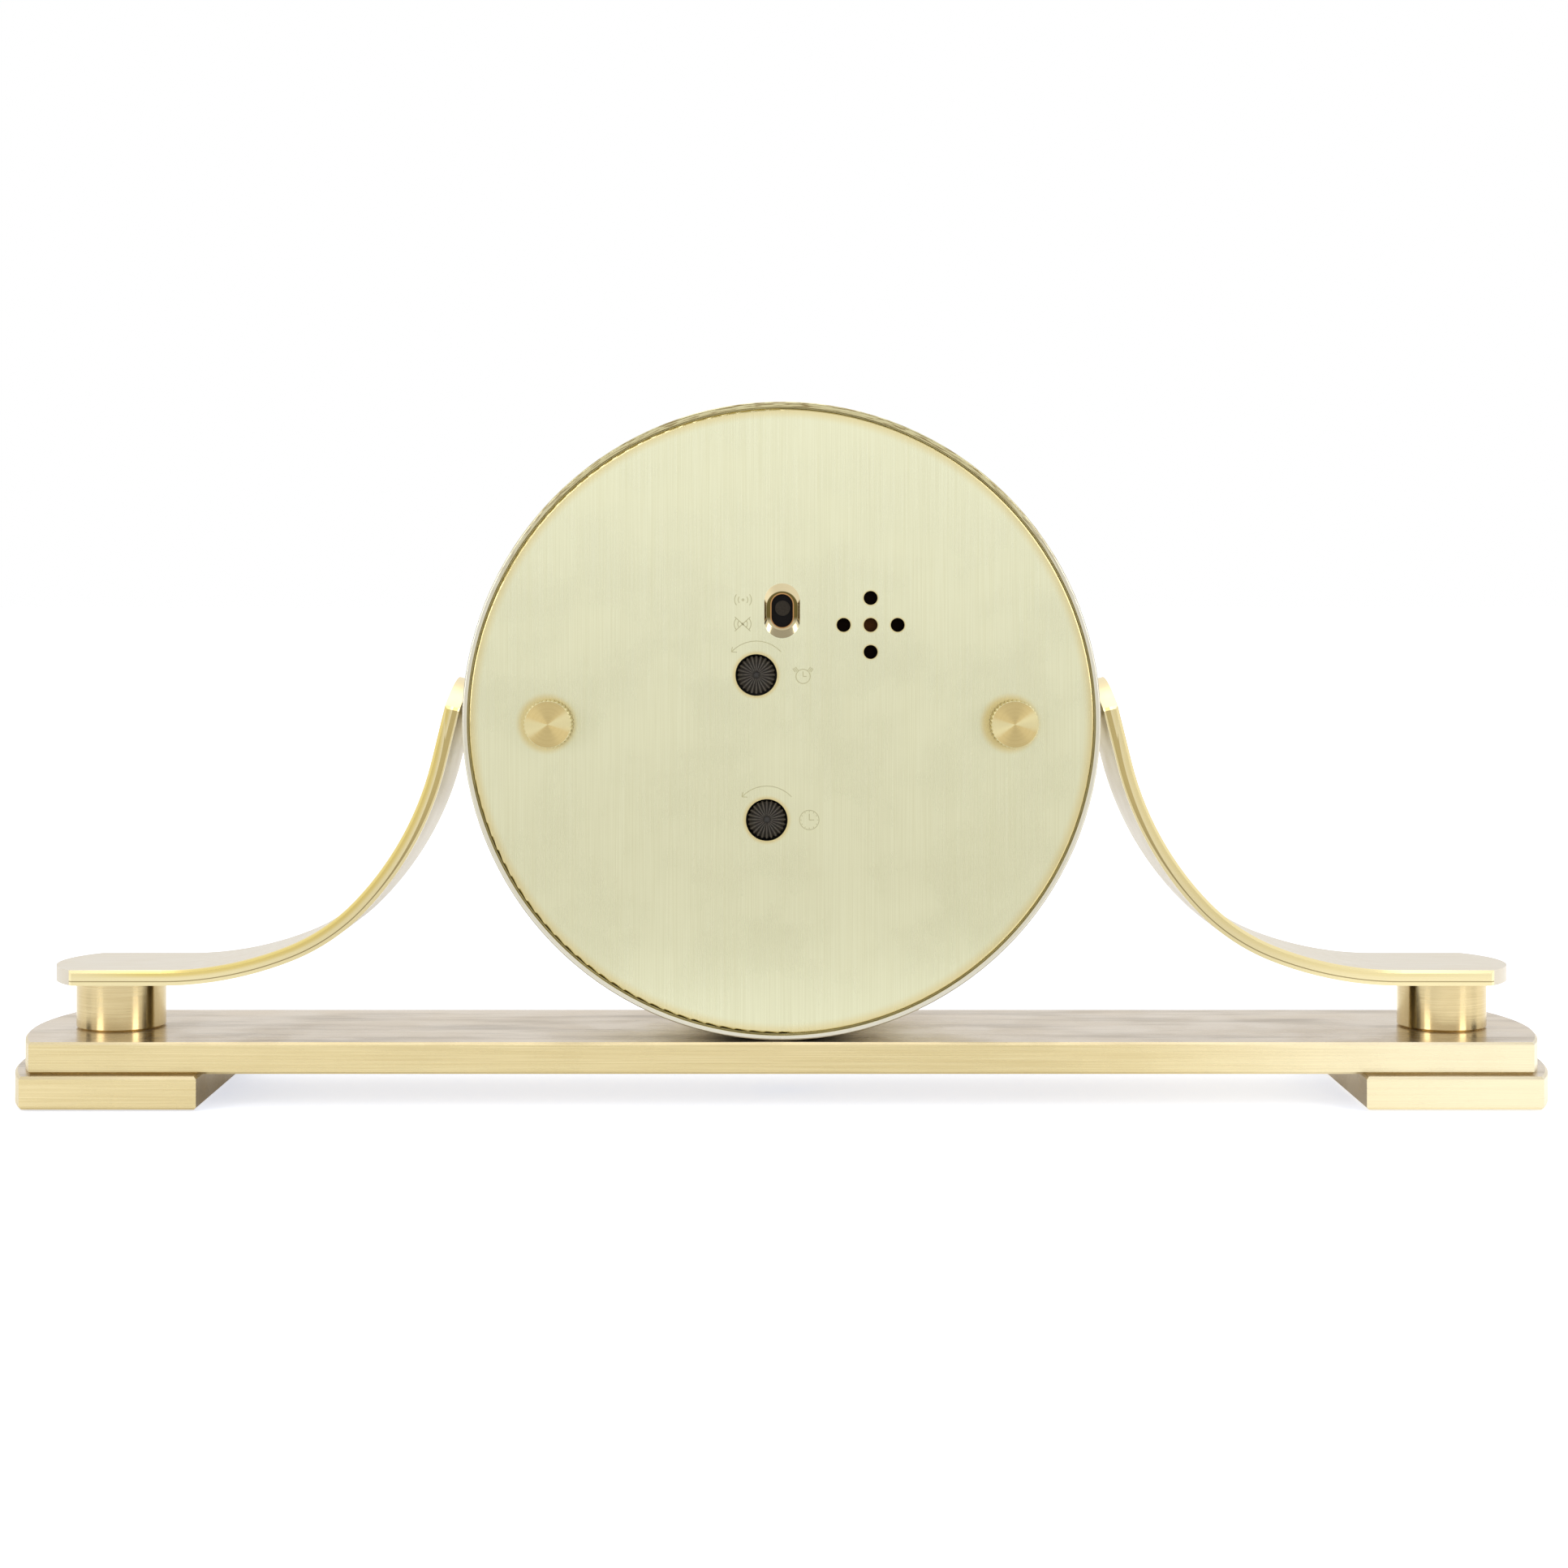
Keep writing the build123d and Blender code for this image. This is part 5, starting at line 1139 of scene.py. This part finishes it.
@dataclass
class CoverMarks:
    """The plain signs stamped beside the controls: sound on, sound off, alarm, time and the ways to turn."""

    line: Stroke = field(default_factory=Stroke)
    lift: float = 0.002 * MM
    dot: float = 0.14 * MM
    wave_radii: Span = (0.75 * MM, 1.3 * MM)
    wave_starts: Span = (-40.0, 140.0)
    wave_sweep: float = 80.0
    cross: Span = (1.2 * MM, 1.1 * MM)
    bell_radius: float = 1.1 * MM
    bell_hands: Span = (0.77 * MM, 0.55 * MM)
    beside: Span = (0.6 * MM, 1.75 * MM)
    beside_steps: Triple = (0.55 * MM, 0.77 * MM, 0.99 * MM)
    beside_fall: float = 0.55
    beside_run: Span = (0.42 * MM, 0.55 * MM)
    dial_radius: float = 1.5 * MM
    dial_hands: Span = (1.0 * MM, 0.75 * MM)
    tick_radii: Span = (1.2 * MM, 1.38 * MM)
    arrow_radius: float = 5.25 * MM
    arrow_start: float = 43.0
    arrow_sweep: float = 94.0
    barbs: tuple[Span, Span] = ((-0.15 * MM, 0.75 * MM), (-0.85 * MM, -0.05 * MM))

    def waves(self, x: float, z: float) -> list[bpy.types.Object]:
        """Two arcs on each side of a dot, for a sound."""
        arcs = [(radius, start, self.wave_sweep) for radius in self.wave_radii for start in self.wave_starts]
        return [self.line.arc((x, z), *arc) for arc in ((self.dot,), *arcs)]

    def crossed(self, x: float, z: float) -> list[bpy.types.Object]:
        """The same sign crossed out."""
        half, rise = self.cross
        return self.waves(x, z) + [self.line.straight((x - half, z - rise), (x + half, z + rise)),
                                   self.line.straight((x - half, z + rise), (x + half, z - rise), self.lift)]

    def hands(self, x: float, z: float, up: float, aside: float) -> list[bpy.types.Object]:
        """Two small clock hands."""
        return [self.line.straight((x, z), (x, z + up)),
                self.line.straight((x, z), (x - aside, z), self.lift)]

    def bell(self, x: float, z: float) -> list[bpy.types.Object]:
        """Models a small alarm clock with strokes beside it.

        Args:
            x: Its X from the drum's axis.
            z: Its Z from there.

        Returns:
            Its lines.
        """
        parts = [self.line.arc((x, z), self.bell_radius), *self.hands(x, z, *self.bell_hands)]
        for side in (-1, 1):
            for out in self.beside_steps:
                top = (x + side * (self.beside[0] + out), z + self.beside[1] - self.beside_fall * out)
                low = (top[0] - side * self.beside_run[0], top[1] - self.beside_run[1])
                parts.append(self.line.straight(top, low))
        return parts

    def dial(self, x: float, z: float) -> list[bpy.types.Object]:
        """Models a plain clock face.

        Args:
            x: Its X from the drum's axis.
            z: Its Z from there.

        Returns:
            Its lines.
        """
        parts = [self.line.arc((x, z), self.dial_radius), *self.hands(x, z, *self.dial_hands)]
        for hour in range(12):
            angle = math.radians(30 * hour)
            inner, outer = ((x + radius * math.cos(angle), z + radius * math.sin(angle))
                            for radius in self.tick_radii)
            parts.append(self.line.straight(inner, outer))
        return parts

    def turn(self, centre: Span) -> list[bpy.types.Object]:
        """Models an arc with an arrow's head over a knob.

        Args:
            centre: The knob's place.

        Returns:
            Its lines.
        """
        radius, angle = self.arrow_radius, math.radians(self.arrow_start)
        tip = (centre[0] + radius * math.cos(angle), centre[1] + radius * math.sin(angle))
        heads = [self.line.straight(tip, (tip[0] + x, tip[1] + z), number * self.lift)
                 for number, (x, z) in enumerate(self.barbs, 1)]
        return [self.line.arc(centre, radius, self.arrow_start, self.arrow_sweep), *heads]

    def build(self) -> None:
        """Stamps every sign on the cover as one piece each."""
        signs = {
            "sign_sound_on": self.waves(5.94 * MM, 18.75 * MM),
            "sign_sound_off": self.crossed(6.0 * MM, 15.0 * MM),
            "sign_alarm": self.bell(-3.35 * MM, 6.9 * MM),
            "sign_time": self.dial(-4.31 * MM, -15.3 * MM),
            "sign_turn_alarm": self.turn(ALARM_KNOB),
            "sign_turn_time": self.turn(TIME_KNOB),
        }
        for name, parts in signs.items():
            Bench.finish(Bench.unite(parts, name), STAMP, "rear_cover", "pale_brushed_brass")


@dataclass
class DialFace:
    """What is printed and applied on the dial: a minute track, plain numerals and bevelled batons."""

    track_radius: float = 43.4 * MM
    minute_length: float = 1.2 * MM
    minute_width: float = 0.22 * MM
    print_height: float = 0.03 * MM
    ring_flatness: float = 0.15
    numeral_radius: float = 32.4 * MM
    numeral_size: float = 8.6 * MM
    baton_outer: float = 42.4 * MM
    baton_length: float = 4.6 * MM
    baton_width: float = 1.5 * MM
    baton_height: float = 0.4 * MM
    baton_bevel: float = 0.3 * MM

    def minute_track(self) -> None:
        """Prints sixty minute strokes and a ring inside them."""
        stroke = Bench.start("cube", (self.minute_width, self.print_height, self.minute_length), size=1.0,
                             location=(0.0, DIAL_FRONT, DRUM_Z + self.track_radius))
        strokes = Bench.round_dial(stroke, "stroke", 60)
        middle = (0.0, DIAL_FRONT, DRUM_Z)
        ring = Bench.start("torus", major_radius=self.track_radius - 0.75 * self.minute_length,
                           minor_radius=0.5 * self.minute_width, major_segments=180, minor_segments=4,
                           location=middle, rotation=(QUARTER, 0.0, 0.0))
        Bench.edit(ring, "SELECT")
        bpy.ops.transform.resize(value=(1.0, self.ring_flatness, 1.0), center_override=middle)
        Bench.finish(Bench.unite([*strokes, ring], "minute_track"), PRINT, "case", "hand_black")

    def numerals(self) -> None:
        """Prints the plain numerals 1 to 12, upright."""
        for hour in range(1, 13):
            angle = math.radians(30 * hour)
            Bench.clear()
            bpy.ops.object.text_add()
            text = bpy.context.object.data
            text.body, text.size = str(hour), self.numeral_size
            text.align_x, text.align_y = "CENTER", "CENTER"
            text.extrude, text.resolution_u = self.print_height / 2, 6
            bpy.ops.object.convert(target="MESH")
            numeral = bpy.context.object
            numeral.name = f"numeral_{hour}"
            numeral.rotation_euler = (QUARTER, 0.0, 0.0)
            numeral.location = (self.numeral_radius * math.sin(angle), DIAL_FRONT,
                                DRUM_Z + self.numeral_radius * math.cos(angle))
            Bench.finish(numeral, PRINT, "case", "hand_black")

    def batons(self) -> None:
        """Applies twelve batons with sloping sides in place of the CAD solids."""
        middle = (0.0, DIAL_FRONT - self.baton_height / 2, DRUM_Z + self.baton_outer - self.baton_length / 2)
        baton = Bench.start("cube", (self.baton_width, self.baton_height, self.baton_length), size=1.0,
                            location=middle)
        baton.name = "hour_baton_12"
        Bench.edit(baton)
        Bench.pick(baton, "edges", lambda e: all(v.co.y < middle[1] for v in e.verts))
        bpy.ops.mesh.bevel(offset=self.baton_bevel, segments=2, profile=0.7, affect="EDGES")
        Bench.clear()
        for piece in Bench.round_dial(baton, "hour_baton", 12):
            Bench.finish(piece, GILT, "case", "dial_gold", 20.0)
            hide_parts("hour_markers")

    def build(self) -> None:
        """Makes the dial's detail."""
        self.minute_track()
        self.numerals()
        self.batons()


@dataclass
class RidgedHand:
    """A pointed hand with a ridge along its middle and a domed hub, in place of its flat CAD node."""

    node: str
    length: float
    width: float
    hub: float
    degrees: float
    back: float
    tail_share: float = 0.12
    point_from: float = 0.9
    point_share: float = 0.06
    thickness: float = 0.4 * MM
    slope: float = 0.26 * MM
    dome: float = 0.16 * MM

    def build(self) -> None:
        """Models the hand at its angle and lets it stand for its node."""
        tail = self.length * self.tail_share
        middle = Vector((0.0, self.back - self.thickness / 2, DRUM_Z))
        blade = Bench.start("cube", (self.width, self.thickness, self.length + tail), size=1.0,
                            location=middle + Vector((0.0, 0.0, (self.length - tail) / 2)))
        Bench.edit(blade)
        Bench.pick(blade, "edges", lambda e: abs(e.verts[0].co.x - e.verts[1].co.x) > 0.5 * self.width)
        bpy.ops.mesh.subdivide(number_cuts=1)
        Bench.pick(blade, "verts", lambda v: v.co.z > DRUM_Z + self.point_from * self.length)
        bpy.ops.transform.resize(value=(self.point_share, 1.0, 1.0), center_override=middle)
        Bench.pick(blade, "verts", lambda v: abs(v.co.x) > NEAR and v.co.y < middle.y)
        bpy.ops.transform.translate(value=(0.0, self.slope, 0.0))
        hub = Bench.start("cylinder", vertices=48, radius=self.hub, depth=self.thickness, location=middle,
                          rotation=(QUARTER, 0.0, 0.0))
        Bench.edit(hub)
        Bench.pick(hub, "edges", lambda e: all(v.co.y < middle.y for v in e.verts))
        bpy.ops.mesh.bevel(offset=self.dome, segments=3, affect="EDGES")
        piece = Bench.unite([blade, hub], f"{self.node}_dressed")
        piece.data.transform(turn_about_y(self.degrees))
        Bench.finish(piece, HAND_BLACK, self.node, "hand_black", 15.0)
        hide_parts(self.node)


@dataclass
class DryCell:
    """The battery: a wrapped can with rolled ends, a steel foot and a raised nub."""

    radius: float = 7.1 * MM
    length: float = 49.2 * MM
    jacket_gap: float = 0.2 * MM
    jacket_roll: float = 0.9 * MM
    foot_share: float = 0.72
    foot_length: float = 0.6 * MM
    foot_roll: float = 0.15 * MM
    nub_radius: float = 2.7 * MM
    nub_length: float = 1.0 * MM
    nub_roll: float = 0.4 * MM
    overlap: float = 0.4 * MM
    hollow: float = 0.15 * MM
    y: float = 0.55 * MM
    z: float = DRUM_Z - 27.725 * MM

    def can(self, name: str, radius: float, ends: Span, roll: float, finish: Finish, slot: str) -> None:
        """Models one turned part of the cell along X.

        Args:
            name: Its name.
            radius: Its radius.
            ends: The X of its two ends.
            roll: How much its ends are rounded.
            finish: Its finish.
            slot: Its slot.
        """
        piece = Bench.start("cylinder", vertices=72, radius=radius, depth=ends[1] - ends[0],
                            location=(sum(ends) / 2, self.y, self.z), rotation=(0.0, QUARTER, 0.0))
        piece.name = name
        Bench.edit(piece)
        Bench.pick(piece, "edges", lambda e: abs(e.verts[0].co.x - e.verts[1].co.x) < 0.1 * NEAR)
        bpy.ops.mesh.bevel(offset=roll, segments=4, affect="EDGES")
        Bench.pick(piece, "faces", lambda f: len(f.verts) > 10)
        bpy.ops.mesh.inset(thickness=0.25 * radius, depth=0.0)
        bpy.ops.mesh.inset(thickness=0.05 * radius, depth=-self.hollow)
        Bench.finish(piece, finish, "case", slot)
        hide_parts("battery")

    def build(self) -> None:
        """Models the cell in place of its CAD node."""
        start = -(self.length + self.nub_length) / 2
        end = start + self.length
        self.can("cell_jacket_can", self.radius, (start + self.jacket_gap, end), self.jacket_roll, JACKET,
                 "cell_jacket")
        self.can("cell_foot", self.foot_share * self.radius, (start, start + self.foot_length),
                 self.foot_roll, SHEET, "sheet_steel")
        self.can("cell_nub", self.nub_radius, (end - self.overlap, end + self.nub_length), self.nub_roll,
                 SHEET, "sheet_steel")


@dataclass
class WireWinding:
    """The coil's outer layer of fine wire, as close rings on its sleeve."""

    outer: float = 2.75 * MM
    turns: int = 62

    def build(self) -> None:
        """Models the winding in place of its CAD node."""
        low, high = map(Vector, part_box("coil_winding"))
        pitch = (high.z - low.z) / self.turns
        middle = Vector((*((low + high) / 2)[:2], low.z + pitch / 2))
        inner = self.outer - pitch / 2
        ring = Bench.start("cylinder", vertices=36, radius=inner, depth=pitch, end_fill_type="NOTHING",
                           location=middle)
        Bench.edit(ring)
        Bench.pick(ring, "edges", lambda e: abs(e.verts[0].co.z - e.verts[1].co.z) > 0.5 * pitch)
        bpy.ops.mesh.subdivide(number_cuts=1)
        Bench.pick(ring, "verts", lambda v: abs(v.co.z - middle.z) < 0.1 * pitch)
        grow = self.outer / inner
        bpy.ops.transform.resize(value=(grow, grow, 1.0), center_override=middle)
        Bench.modify(ring, "ARRAY", count=self.turns, use_relative_offset=False, use_constant_offset=True,
                     constant_offset_displace=(0.0, 0.0, pitch), use_merge_vertices=True,
                     merge_threshold=0.1 * NEAR)
        Bench.edit(ring)
        Bench.pick(ring, "edges", lambda e: e.is_boundary)
        bpy.ops.mesh.edge_face_add()
        bpy.ops.mesh.select_all(action="SELECT")
        bpy.ops.mesh.normals_make_consistent(inside=False)
        Bench.clear()
        ring.name = "coil_winding_dressed"
        Bench.finish(ring, COPPER, "case", "copper_wire")
        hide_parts("coil_winding")


@dataclass(frozen=True)
class Lamp:
    """A soft box that faces the clock. Its radiance is how bright its face looks, where 1 is white."""

    name: str
    place: Triple
    size: Span
    radiance: float
    in_gloss: bool = True
    aim: Triple = (0.0, 0.0, 0.05)

    def hang(self) -> None:
        """Hangs the lamp."""
        data = bpy.data.lights.new(self.name, "AREA")
        data.shape, data.size, data.size_y = "RECTANGLE", *self.size
        data.energy = self.radiance * math.pi * self.size[0] * self.size[1]
        lamp = bpy.data.objects.new(self.name, data)
        bpy.context.collection.objects.link(lamp)
        lamp.location = self.place
        lamp.rotation_euler = (Vector(self.aim) - Vector(self.place)).to_track_quat("-Z", "Y").to_euler()
        lamp.visible_glossy = self.in_gloss
        LOG.info("lamp %s", self.name)


@dataclass
class Studio:
    """The pale floor, the white surroundings, the soft lamps and the camera."""

    camera_place: Triple = (-0.4 * MM, 416.4 * MM, 77.9 * MM)
    lens: float = 59.63
    sensor: float = 36.0
    shift: float = -0.115
    nearest: float = 10 * MM
    floor_size: float = 80.0
    floor_grain: float = 0.6 * MM
    floor_colour: Colour = (0.74, 0.74, 0.74)
    floor_fleck: float = 0.985
    floor_glow: float = 0.58
    glow_colour: Colour = (0.96, 1.03, 1.20)
    table_edge: Span = (0.130, 0.160)
    far_colour: Colour = (0.60, 0.58, 0.53)
    far_run: Span = (0.25, 0.7)
    far_glow: Span = (0.08, 0.24)
    pool_side: Span = (-0.03, -0.10)
    pool_glow: Span = (0.28, 0.52)
    sky_level: float = 0.72
    horizon: Span = (-0.03, 0.05)
    room_levels: Span = (0.85, 1.05)
    ceiling: Span = (0.3, 0.6)
    ceiling_dim: float = 0.55
    rear: Span = (0.1, 0.4)
    gap_side: Span = (0.90, 0.94)
    gap_rear: Span = (0.02, 0.08)
    gap_level: float = 0.03
    lamps: tuple[Lamp, ...] = (Lamp("box_left", (-0.66, 0.62, 0.42), (0.28, 0.8), 2.8),
                               Lamp("box_right", (0.66, 0.62, 0.42), (0.28, 0.8), 2.8),
                               Lamp("top", (0.0, -0.15, 1.1), (0.8, 0.8), 1.12),
                               Lamp("dial_fill", (0.35, -1.0, 0.55), (0.7, 0.7), 2.24, in_gloss=False))

    def floor(self) -> None:
        """Lays the floor, white to the camera and, to gloss, dim past the edge of a table, with a painted
        pool of light near the clock, brighter towards -X.
        """
        piece = Bench.start("plane", size=self.floor_size)
        piece.name = "floor"
        graph = Surface("floor_paper")
        fine = graph.noise((self.floor_grain,) * 3)
        fleck = tuple(self.floor_fleck * part for part in self.floor_colour)
        graph.colour = graph.blend(fine, self.floor_colour, fleck)
        x, y, _ = graph.split(graph.place)
        gloss = graph.ray("Glossy")
        far = graph.between(y, *self.table_edge)
        graph.lay(self.far_colour, gloss, far)
        # Painted pool of light: near the clock, gloss sees the floor glow brighter towards -X.
        mirrored = graph.choose(far, graph.between(x, *self.pool_side, *self.pool_glow),
                                graph.between(y, *self.far_run, *self.far_glow))
        glow = graph.times(graph.shown(), graph.choose(gloss, self.floor_glow, mirrored))
        graph.dress(Base_Color=graph.colour, Roughness=0.9, Specular_IOR_Level=0.1, Emission_Strength=glow,
                    Emission_Color=graph.blend(gloss, self.glow_colour, WHITE))
        piece.data.materials.append(graph.material)

    def surroundings(self) -> None:
        """Makes the world white to the camera and, to gloss, a dimmer room with two dark gaps behind."""
        world = bpy.data.worlds.new("studio_white")
        world.use_nodes = True
        graph = Graph(world.node_tree)
        x, y, z = graph.split(graph.add("ShaderNodeTexCoord").outputs["Generated"])
        low = graph.minus(graph.between(z, *self.horizon, *self.room_levels),
                          graph.between(z, *self.ceiling, 0.0, self.ceiling_dim))
        room = graph.choose(graph.between(y, *self.rear), 1.0, low)
        gap = graph.times(graph.between(graph.size(x), *self.gap_side), graph.between(y, *self.gap_rear))
        room = graph.times(room, graph.between(gap, 0.0, 1.0, 1.0, self.gap_level))
        seen = graph.choose(graph.ray("Glossy"), 1.0, room)
        level = graph.choose(graph.shown(), self.sky_level, seen)
        ground = graph.add("ShaderNodeBackground", {"Color": WHITE, "Strength": level})
        graph.add("ShaderNodeOutputWorld", {"Surface": ground.outputs[0]})
        bpy.context.scene.world = world

    def camera(self) -> None:
        """Places the level camera behind the clock, where the photograph was taken from."""
        data = bpy.data.cameras.new("photograph")
        data.lens, data.sensor_width, data.sensor_fit = self.lens, self.sensor, "HORIZONTAL"
        data.shift_y, data.clip_start = self.shift, self.nearest
        piece = bpy.data.objects.new("photograph", data)
        bpy.context.collection.objects.link(piece)
        piece.location = self.camera_place
        piece.rotation_euler = (QUARTER, 0.0, 2 * QUARTER)
        bpy.context.scene.camera = piece

    def build(self) -> None:
        """Sets the studio up."""
        self.floor()
        self.surroundings()
        for lamp in self.lamps:
            lamp.hang()
        self.camera()
        bpy.context.scene.view_settings.view_transform = "Standard"


def main() -> None:
    """Builds the studio and every dressed piece."""
    logging.basicConfig(level=logging.INFO, format="%(name)s: %(message)s")
    Studio().build()
    for finish, names in NODE_FINISHES:
        finish.put_on(names)
    ThumbScrewFace("left", -POST_X).build()
    ThumbScrewFace("right", POST_X).build()
    SettingKnob("time_knob", TIME_KNOB).build()
    SettingKnob("alarm_knob", ALARM_KNOB).build()
    CoverMarks().build()
    DialFace().build()
    RidgedHand("minute_hand", 36.5 * MM, 2.4 * MM, 2.2 * MM, 56.6, -13.05 * MM).build()
    RidgedHand("hour_hand", 25.0 * MM, 3.2 * MM, 2.9 * MM, 304.72, -12.15 * MM).build()
    DryCell().build()
    WireWinding().build()


if __name__ == "__main__":
    main()
